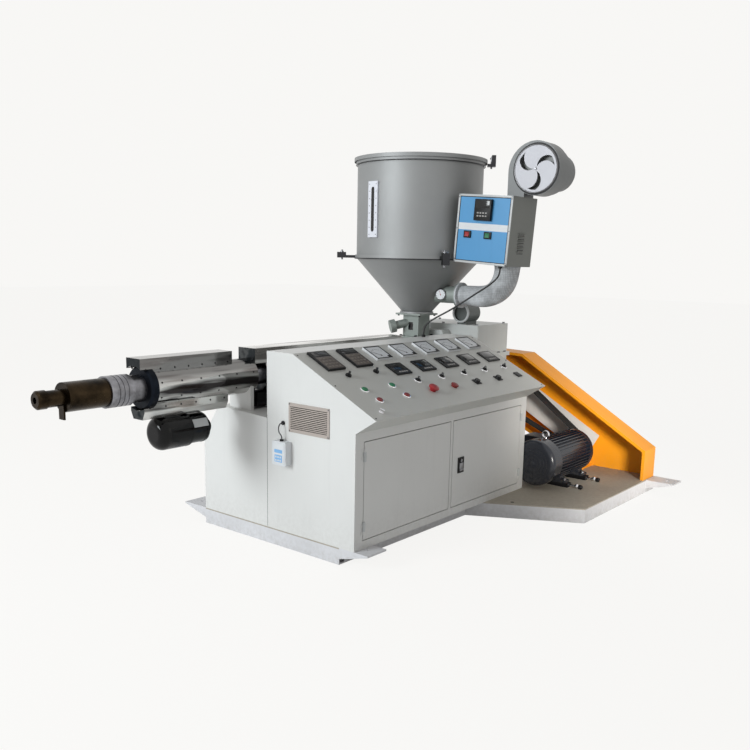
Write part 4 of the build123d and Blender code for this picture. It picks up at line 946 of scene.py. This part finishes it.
rings = Shape()
for place in SELECTORS + GREEN_CAPS + RED_CAPS:
    rings.turned(moved(CONSOLE, *place), RING)
rings.turned(moved(CONSOLE, *KEY_LOCK), stud(15, 6, 12, 8))
rings.block(moved(CONSOLE, *KEY_LOCK, 8, 30), (-3, -14, 0), (3, 14, 16), 1.0)
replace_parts(rings.piece("button_rings", chrome), "push_buttons")

knobs = Shape()
for place in SELECTORS + LEVER_KNOBS:
    knobs.turned(moved(CONSOLE, *place), KNOB)
    knobs.block(moved(CONSOLE, *place, 11, KNOB_TURN), (-23, -7, 0), (23, 7, 12), 2.0)
for place in SQUARE_KNOBS:
    knobs.block(moved(CONSOLE, *place), (-28, -26, 0), (28, 26, 6), 1.5)
    knobs.turned(moved(CONSOLE, *place, 6), [(0, 0), (21, 0), (18, 14), (0, 14)])
knobs.block(moved(CONSOLE, 1732, 170), (-27, -25, 0), (27, 25, 8), 1.5)
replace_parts(knobs.piece("selector_knobs", black_plastic), "selector_switches")

for name, finish, places, profile in (
        ("green_caps", green_plastic, GREEN_CAPS, CAP),
        ("red_caps", dull_red_plastic, RED_CAPS, CAP),
        ("raised_red_button", dull_red_plastic, [(947, 167)], RAISED_RED),
        ("stop_button", red_plastic, [(717, 167)], MUSHROOM)):
    turnings(name, finish, [moved(CONSOLE, *place) for place in places], profile)
bars("selector_marks", [moved(CONSOLE, *place, 23, KNOB_TURN) for place in SELECTORS],
     white_plastic, 24.0, 1.8, 0.4)

# %% [markdown]
# The dryer's front panel is blue, with a dark line inside a pale rim, a white band, a
# controller and two rocker switches. The print on it is left off. Its outer side has a
# short column of louvres.

# %% Dryer panel
PANEL_WIDTH = 440
SWITCH_HEIGHT = 194
SWITCHES = (("dryer_switch_red", red_plastic, 0.23 * PANEL_WIDTH),
            ("dryer_switch_green", green_plastic, 0.61 * PANEL_WIDTH))
DRYER_FRONT = stand(dryer_point(14, -208, 0), DRYER_FACE, -DRYER_SIDE)
PANEL_MIDDLE = moved(DRYER_FRONT, PANEL_WIDTH / 2, 231)
WINDOW_PLACE = moved(PANEL_MIDDLE, 0, 129.4, 26)
Shape().rim(moved(PANEL_MIDDLE, out=-3), 220, 231, 14, 6).piece(
    "dryer_panel_rim", rim_paint, "hopper_steel")
Shape().rim(PANEL_MIDDLE, 206, 217, 5, 1.6).piece("dryer_panel_seal", black_plastic)
blocks("dryer_panel_band", white_plastic, [PANEL_MIDDLE], (-201, -6.5, 0), (201, 39, 0.8))
controller = Shape()
controller.block(moved(PANEL_MIDDLE, 0, 129.4), (-67, -71, 0), (67, 71, 26), 3.0)
controller.block(WINDOW_PLACE, (-55, -60, 0), (55, 0, 1.2), 0.5)
for name, finish, along in SWITCHES:
    controller.block(moved(DRYER_FRONT, along, SWITCH_HEIGHT),
                     (-29, -24, 0), (29, 24, 10), 2.0)
controller.piece("dryer_controller", black_plastic)
blocks("dryer_controller_window", dark_glass, [WINDOW_PLACE], (-55, 12, 0), (55, 60, 1.4), 0.5)
bars("dryer_controller_keys", grid(PANEL_MIDDLE, row(-33, 22, 4), (89, 109), 27),
     key_plastic, 13.0, 9.0, 1.5, "instrument_black")
for name, finish, along in SWITCHES:
    rocker = stand(dryer_point(14 + along - 17, -218, SWITCH_HEIGHT), DRYER_SIDE, DRYER_FACE)
    Shape().cut_out(rocker, [(0, -15), (-6, -15), (-3, 0), (-6, 15), (0, 15)], 0, 34).piece(
        name, finish)
screws("dryer_screws", grid(PANEL_MIDDLE, (-213, 213), (-210, 0, 210), 3),
       fitting_steel, 4.5, 5.5)

LOUVRE_CORNER = (454, -98)
LOUVRE_WIDTH = 76
LOUVRE_HEIGHTS = row(96, 24, 6)
DRYER_OUTER = stand(dryer_point(*LOUVRE_CORNER, 0), DRYER_SIDE, DRYER_FACE)
louvres = Shape()
for height in LOUVRE_HEIGHTS:
    louvres.cut_out(stand(dryer_point(*LOUVRE_CORNER, height), DRYER_FACE, DRYER_SIDE),
                    [(0, 0), (9, -7), (9, -9), (0, -3)], 0, LOUVRE_WIDTH)
louvres.piece("dryer_louvres", box_paint)
# Painted shade: black bars in the openings behind the louvres.
bars("dryer_louvre_shade",
     [moved(DRYER_OUTER, LOUVRE_WIDTH / 2, height - 8) for height in LOUVRE_HEIGHTS],
     black_plastic, 74.0, 5.0, 0.6)

# %% [markdown]
# The fan's front plate sits in a rolled ring, and a screw holds the plate's middle. The
# motor behind it has a ribbed cover. A dial thermometer stands on the hot air inlet, in
# front of the duct.

# %% Fan rings, dial thermometer
RING_DEPTH = 70
MOTOR_END_DEPTH = 270
FAN_FRONT = on_side(FAN_MIDDLE + FAN_AXIS * RING_DEPTH, FAN_AXIS)
FAN_REAR = on_side(FAN_MIDDLE - FAN_AXIS * MOTOR_END_DEPTH, -FAN_AXIS)
fan_ring = Shape()
fan_ring.turned(FAN_FRONT, [(151, 0), (158, 0), (159, 5), (156, 10), (152, 9), (151, 0)], 64)
fan_ring.turned(moved(FAN_FRONT, out=8), stud(9, 3, 6, 6))
fan_ring.piece("fan_plate_ring", fitting_steel, "fan_paint")
# Painted shade: a flat black ring for the groove round the plate ring.
turnings("fan_groove_shade", black_plastic, [FAN_FRONT], hoop(159, 168, 0, 2), 64, "fan_paint")
bars("fan_motor_grille", spokes(FAN_REAR, 62, row(0, 15, 24)), black_plastic,
     70.0, 5.0, 1.5, "fan_paint")

INLET_MIDDLE = Vector((HOPPER_X, 0, 1458.5)) + DRYER_OUT * 262
DIAL = stand(INLET_MIDDLE + Vector((-60, -12, 0)), FRONT, (-1, -0.25, 0.05))
turnings("dial_case", fitting_steel, [DIAL],
         [(0, -14), (8, -14), (8, 4), (38, 6), (40, 10), (40, 22), (36, 24), (36, 20),
          (0, 20)])
turnings("dial_face", white_plastic, [moved(DIAL, out=20)], disc(35.5, 1.2))
bars("dial_marks", spokes(moved(DIAL, out=21.2), 29, row(-45, 30, 10)), black_plastic,
     7.0, 1.5, 0.4)
dial_hand = Shape()
dial_hand.block(moved(DIAL, out=21.4, turn=110), (-8, -1, 0), (26, 1, 0.8))
dial_hand.turned(moved(DIAL, out=21.2), disc(4, 2), 12)
dial_hand.piece("dial_hand", red_plastic)

# %% [markdown]
# The sight glass is a slot behind a frame that small screws hold. The throat has a square
# window, and two rolled seams run round the hopper. The waist hinge, the waist latch and
# the lid clamp each have a bolt with a wing nut.

# %% Hopper fittings
WAIST = 1714
RIM = 2391
SEAMS = ((WAIST, 483, 1.5, 7), (RIM, 481, 1, 5))
WING_BOLTS = ((131, 578, WAIST, -14, 60), (238, 508, WAIST, -60, 60), (-56, 522, RIM, -14, 76))


def on_hopper(azimuth, radius, height):
    """A place on the hopper that faces outwards, with X running round it."""
    turn = math.radians(azimuth)
    out = Vector((math.cos(turn), math.sin(turn), 0))
    return on_side(Vector((HOPPER_X, 0, height)) + out * radius, out)


sight_middle = on_hopper(172, HOPPER_RADIUS, 2055)
screws("sight_glass_screws", grid(sight_middle, (-34, 34), row(-175, 50, 8), 9),
       fitting_steel, 4.0, 5.0)
half_round = circle(15, row(0, 15, 13))
slot_outline = [(x, 140 + y) for x, y in half_round] + [(-x, -140 - y) for x, y in half_round]
Shape().cut_out(moved(sight_middle, out=9.8), slot_outline, 0, 0.8).piece(
    "sight_glass_slot", dark_glass)
blocks("throat_glass", dark_glass, [stand((1752, 0, 1210), BACK, LEFT)],
       (-21, -29, -2), (21, 29, 1), 0.5)

seams = Shape()
for height, radius, bulge, depth in SEAMS:
    seams.turned(on_top(HOPPER_X, 0, height),
                 [(HOPPER_RADIUS, -depth), (radius, -depth), (radius + bulge, -depth / 2),
                  (radius, 0), (HOPPER_RADIUS, 0), (HOPPER_RADIUS, -depth)], 96)
seams.piece("hopper_seal_rings", dark_fitting)

wing_nuts = Shape()
for azimuth, radius, height, low, high in WING_BOLTS:
    place = on_top(*on_hopper(azimuth, radius, height).translation / MILLIMETRE)
    wing_nuts.turned(place, disc(7, high, low), 16)
    wing_nuts.turned(place, [(0, high - 22), (14, high - 22), (12, high - 10), (0, high - 10)],
                     16)
    wing_nuts.block(moved(place, out=high - 16, turn=azimuth + 90), (-26, -3, -4), (26, 3, 14),
                    1.5)
wing_nuts.piece("hopper_wing_nuts", fitting_steel)
screws("hopper_rim_rivets", [on_hopper(azimuth, 480, 2411) for azimuth in row(7, 15, 24)],
       fitting_steel, 4.0, 4.5)
bolts("throat_bolts", [on_top(HOPPER_X + x, y, 1134) for x in (-100, 100) for y in (-70, 70)],
      dark_iron, 11.0, 9.0, 14.0, 2.0)
bolts("gate_bolts", [stand((HOPPER_X + x, y, 1295), RIGHT, (0, 0, -1))
                     for x in (-98, 98) for y in (-98, 98)], dark_iron, 8.0, 7.0, 10.0, 1.5)

# %% [markdown]
# The polished hoods and the covers are held by rows of small screws along their edges. A
# black block shaped as a cooling duct fills the gap under the rear cover; its black is
# painted shade for that gap. The barrel blower has a bare plate on its case, and a junction
# box with a pale blue face hangs on the end panel below its cable.

# %% Covers, blower and junction box


def round_barrel(x, height, radius, angle):
    """A place on a round shape that lies along X, at an angle above its front."""
    turn = math.radians(angle)
    out = Vector((0, -math.cos(turn), math.sin(turn)))
    return stand(Vector((x, 0, height)) + out * radius, RIGHT, out)


HOOD_SIDE = 62
HOOD_HEIGHT = 1090
BARREL_HEIGHT = 985
BLOWER_HEIGHT = 715
hood_screws = [on_side((x, -HOOD_SIDE, HOOD_HEIGHT), FRONT) for x in row(-700, 96, 7)]
hood_screws += [on_side((x, -HOOD_SIDE, 878), FRONT) for x in row(-680, 105, 6)]
hood_screws += [on_side((x, HOOD_SIDE, HOOD_HEIGHT), BACK) for x in row(-700, 96, 7)]
hood_screws += [round_barrel(x, BARREL_HEIGHT, 108, angle)
                for angle in (-28, 18, 152, 198) for x in row(-625, 134, 6)]
screws("cover_screws", hood_screws, dark_iron, 4.0, 5.5, "machined_steel")

# Painted shade: a black block in the gap under the rear cover.
blocks("rear_duct_painted_shade", blower_paint, [on_top(0, 0, 0)],
       (86, -84, 793), (1500, 84, 885), 12)
blocks("end_panel_seam", black_plastic, [on_side((-24, -290, 0), LEFT)],
       (-1.2, 104, -0.4), (1.2, 790, 0.3), slot="cabinet_paint")

BLOWER_AXIS = on_side((-420, 0, BLOWER_HEIGHT), RIGHT)
blocks("blower_plate", rim_paint, [round_barrel(-350, BLOWER_HEIGHT, 88, 28)],
       (-52, -24, -6), (52, 24, 4), 1.0, "blower_paint")
blower_bands = Shape().turned(BLOWER_AXIS, hoop(94, 99, 0, 10), 48)
blower_bands.turned(moved(BLOWER_AXIS, out=112),
                    [(84, 0), (90, 2), (90, 12), (84, 14), (84, 0)], 48)
blower_bands.piece("blower_bands", blower_paint)
bars("blower_fins", spokes(moved(BLOWER_AXIS, out=134), 66, row(0, 15, 24)), cap_paint,
     36.0, 4.0, 3.0)

JUNCTION = on_side((-74, -438, 585), LEFT)
JUNCTION_LID = moved(JUNCTION, out=3)
blocks("junction_lid", white_plastic, [JUNCTION], (-46, -62, 0), (46, 62, 3), 1.2)
junction_face = Shape().block(JUNCTION_LID, (-30, -50, 0), (30, -8, 1.4), 0.5)
junction_face.block(JUNCTION_LID, (-32, 4, 0), (32, 24, 1.4), 0.5)
junction_face.piece("junction_face", pale_blue_plastic)
bars("junction_keys", grid(JUNCTION, row(-18, 18, 3), (-40, -20), 4.4), white_plastic,
     11.0, 9.0, 1.2)
screws("grille_screws", [on_side((-29, y, z), LEFT) for y in (-783, -481) for z in (721, 877)],
       fitting_steel, 4.0, 5.0)

# %% [markdown]
# The doors turn on knuckle hinges and close with one recessed paddle handle. Small screws
# hold the console's corners, and hexagon bolts hold the gearbox together and its stand to
# the deck. The back panels of the machine are screwed on in the usual way.

# %% Handle, hinges, bolts and panel screws
DOOR_FRONT = -985
HANDLE = on_side((1016, DOOR_FRONT, 417), FRONT)
KNUCKLE = [(0, 0), (8, 0), (9, 1), (9, 26), (8, 26.5), (8, 27.5), (9, 28), (9, 53), (8, 54),
           (0, 54)]
HALF_KNUCKLE = 27
HINGES = [on_top(x, DOOR_FRONT, z - HALF_KNUCKLE) for x in (50.5, 1761.5) for z in (232, 632)]
paddle = Shape()
paddle.block(HANDLE, (-21, -38, 0), (21, 14, 4), 1.5)
paddle.block(HANDLE, (-21, -38, 3), (21, -26, 9), 1.5)
paddle.turned(moved(HANDLE, 0, 29), stud(11, 5, 9, 6))
paddle.piece("door_paddle", fitting_steel, body="right_door")
turnings("door_hinge_knuckles", rim_paint, HINGES, KNUCKLE, 20, "cabinet_paint")

screws("console_screws",
       grid(CONSOLE, (22, 1838), (22, 348, 672)) + grid(CONSOLE, (486, 930, 1380), (672,)),
       dark_iron, 4.0, 5.0, "machined_steel")
GEARBOX_TOP = 1225
bolts("gearbox_bolts",
      [on_top(x, -427, 1000) for x in row(2080, 90, 5)]
      + [on_top(x, y, GEARBOX_TOP) for x in (2070, 2465) for y in (-390, -80, 230)],
      fitting_steel, 10.0, 8.0, 12.0, 2.0, slot="machine_paint")
plug = Shape()
plug.turned(on_top(2380, -60, GEARBOX_TOP),
            [(0, 0), (26, 0), (26, 10), (18, 12), (18, 34), (22, 38), (22, 48), (0, 50)])
plug.turned(stand((2044, -260, 1313), BACK, LEFT),
            [(60, -2), (76, -2), (76, 5), (72, 9), (60, 9), (60, -2)], 40)
plug.piece("gearbox_plug", rim_paint, "machine_paint")
screws("rear_panel_screws",
       [on_side((x, -290, z), BACK) for x in row(30, 252, 8) for z in (820, 1140)]
       + [on_side((x, 289, z), BACK) for z in (560, 130) for x in row(20, 252, 7)],
       fitting_steel, 4.0, 6.0, "cabinet_paint")

# %% [markdown]
# The motor's cowl has a grille in its end, and its case an eyebolt. The sliding rails have
# long adjusting bolts with bright collars, and the belt guard is screwed along its fold.

# %% Motor, slide rails and guard
MOTOR_Y = -1055
RAILS = (2092, 2382)
COWL = on_side((1842, MOTOR_Y, 293), LEFT)
cowl_rings = Shape()
for radius in row(40, 24, 4):
    inner, outer = radius - 2.5, radius + 2.5
    cowl_rings.turned(COWL, [(inner, -1), (outer, -1), (outer, 3), (radius, 4.5), (inner, 3),
                             (inner, -1)], 48)
cowl_rings.turned(COWL, [(0, -1), (18, -1), (18, 3), (12, 6), (0, 7)])
cowl_rings.piece("cowl_grille_rings", motor_paint)
bars("cowl_grille_bars", spokes(COWL, 66, row(0, 45, 8)), motor_paint, 98.0, 6.0, 3.5)
collars = Shape()
ends = Shape()
for x in RAILS:
    bolt = on_side((x, -1225, 115), FRONT)
    collars.turned(moved(bolt, out=46), [(7.2, 0), (15, 2), (19, 10), (19, 20), (15, 28),
                                         (7.2, 30), (7.2, 0)])
    collars.turned(bolt, hoop(7.2, 8.2, 0, 46), 16)
    ends.turned(moved(bolt, out=78), stud(17, 18, 12, 24), 6)
collars.piece("slide_bolt_collars", chrome)
ends.piece("slide_bolt_ends", black_plastic, "dark_iron")
bolts("motor_foot_bolts",
      [on_top(x, MOTOR_Y + side * 132, 150) for x in RAILS for side in (-1, 1)],
      fitting_steel, 11.0, 9.0, 14.0, 2.0)
# Painted shade: a flat black disc for a hole in the deck.
turnings("deck_hole_shade", black_plastic, [on_top(1460, -1120, 99)], disc(13, 1.4),
         slot="frame_paint")
eye = Shape().turned(on_side((2012, MOTOR_Y, 479), RIGHT),
                     [(24 + x, y) for x, y in circle(7, row(0, 45, 9))])
eye.turned(on_top(2012, MOTOR_Y, 440), [(0, 0), (16, 0), (14, 14), (0, 14)])
eye.piece("motor_eyebolt", chrome)
GUARD_FOLD = stand((2857, -1552, 328), (0, 1079, 638), RIGHT)
bolts("guard_screws", grid(GUARD_FOLD, row(60, 190, 7), (-14,), -1),
      fitting_steel, 6.0, 4.0, 9.0, 1.2, 0.9, "guard_orange")

# %% [markdown]
# The machine stands in a plain studio. One large soft lamp on the left, a little behind the
# machine, gives the shape, a weak one fills the front, and a narrow one reaches the belt
# guard, which the cabinet hides from the first. The photograph's ground is almost white,
# much paler than its light would make it. So the floor and the world behind it glow like
# paper where the camera or polished steel sees them, and stay plain for all other light.

# %% Floor, light and surroundings
FLOOR_REACH = 40.0
PAPER = shade(0.972, 0.969, 0.961)
PAPER_SHARE = 0.9
PAPER_GLOW = 1.05
WORLD_LIGHT = 0.38
COOL = (0.92, 0.97, 1.0)
WARM = (1.0, 0.96, 0.90)


def background(tree):
    """1 for what the camera, or a mirror that it sees, looks at, and 0 for other light."""
    camera_ray = tree.add("ShaderNodeLightPath", {}, output="Is Camera Ray")
    glass, mirror = (Value(tree, camera_ray.socket.node.outputs[name])
                     for name in ("Is Transmission Ray", "Is Glossy Ray"))
    return camera_ray.math("MAXIMUM", camera_ray.math("MAXIMUM", camera_ray, glass), mirror)


def studio_floor():
    """A wide floor that shows as nearly white and still takes the machine's shadow."""
    mesh = bpy.data.meshes.new("studio_floor")
    corners = [(x * FLOOR_REACH, y * FLOOR_REACH, 0)
               for x, y in ((-1, -1), (1, -1), (1, 1), (-1, 1))]
    mesh.from_pydata(corners, [], [(0, 1, 2, 3)])
    floor = bpy.data.objects.new("studio_floor", mesh)
    bpy.context.collection.objects.link(floor)
    finish = Finish("studio floor")
    finish.set(Base_Color=shade(0.90, 0.90, 0.90), Roughness=finish.noise(2.0) * 0.1 + 0.75)
    glow = finish.add("ShaderNodeEmission", {}, PAPER, PAPER_GLOW)
    paint = Value(finish, finish.surface.outputs[0])
    share = background(finish) * PAPER_SHARE
    mixed = finish.add("ShaderNodeMixShader", {}, share, paint, glow)
    finish.feed(finish.tree.nodes["Material Output"].inputs["Surface"], mixed)
    give(floor, finish)
    return floor


def lamp(name, kind, place, target, watts, tint, **settings):
    """A lamp that faces a place on the machine."""
    light = bpy.data.lights.new(name, kind)
    light.energy = watts
    light.color = tint
    for key, setting in settings.items():
        setattr(light, key, setting)
    holder = bpy.data.objects.new(name, light)
    holder.location = place
    ahead = Vector(target) - Vector(place)
    holder.rotation_euler = ahead.to_track_quat("-Z", "Y").to_euler()
    bpy.context.collection.objects.link(holder)
    return holder


def surroundings():
    """An even pale world that is nearly white behind the machine and in its metal."""
    world = bpy.data.worlds.new("studio")
    bpy.context.scene.world = world
    world.use_nodes = True
    tree = Tree(world.node_tree)
    plain = tree.add("ShaderNodeBackground", {}, (1.0, 1.0, 1.0, 1.0), WORLD_LIGHT)
    white = tree.add("ShaderNodeBackground", {}, PAPER, 1.0)
    mixed = tree.add("ShaderNodeMixShader", {}, background(tree), plain, white)
    tree.feed(world.node_tree.nodes["World Output"].inputs["Surface"], mixed)


studio_floor()
lamp("key lamp", "AREA", (-7.0, 1.8, 3.6), (0.2, -0.4, 0.7), 480, COOL, size=3.0)
lamp("fill lamp", "AREA", (2.5, -8.0, 4.0), (1.2, -0.6, 0.8), 20, WARM, size=4.0)
lamp("guard lamp", "SPOT", (-0.7, -5.0, 1.4), (2.85, -1.10, 0.5), 2100, WARM,
     spot_size=math.radians(20), spot_blend=0.8, shadow_soft_size=0.6)
surroundings()
bpy.context.scene.view_settings.view_transform = "Standard"
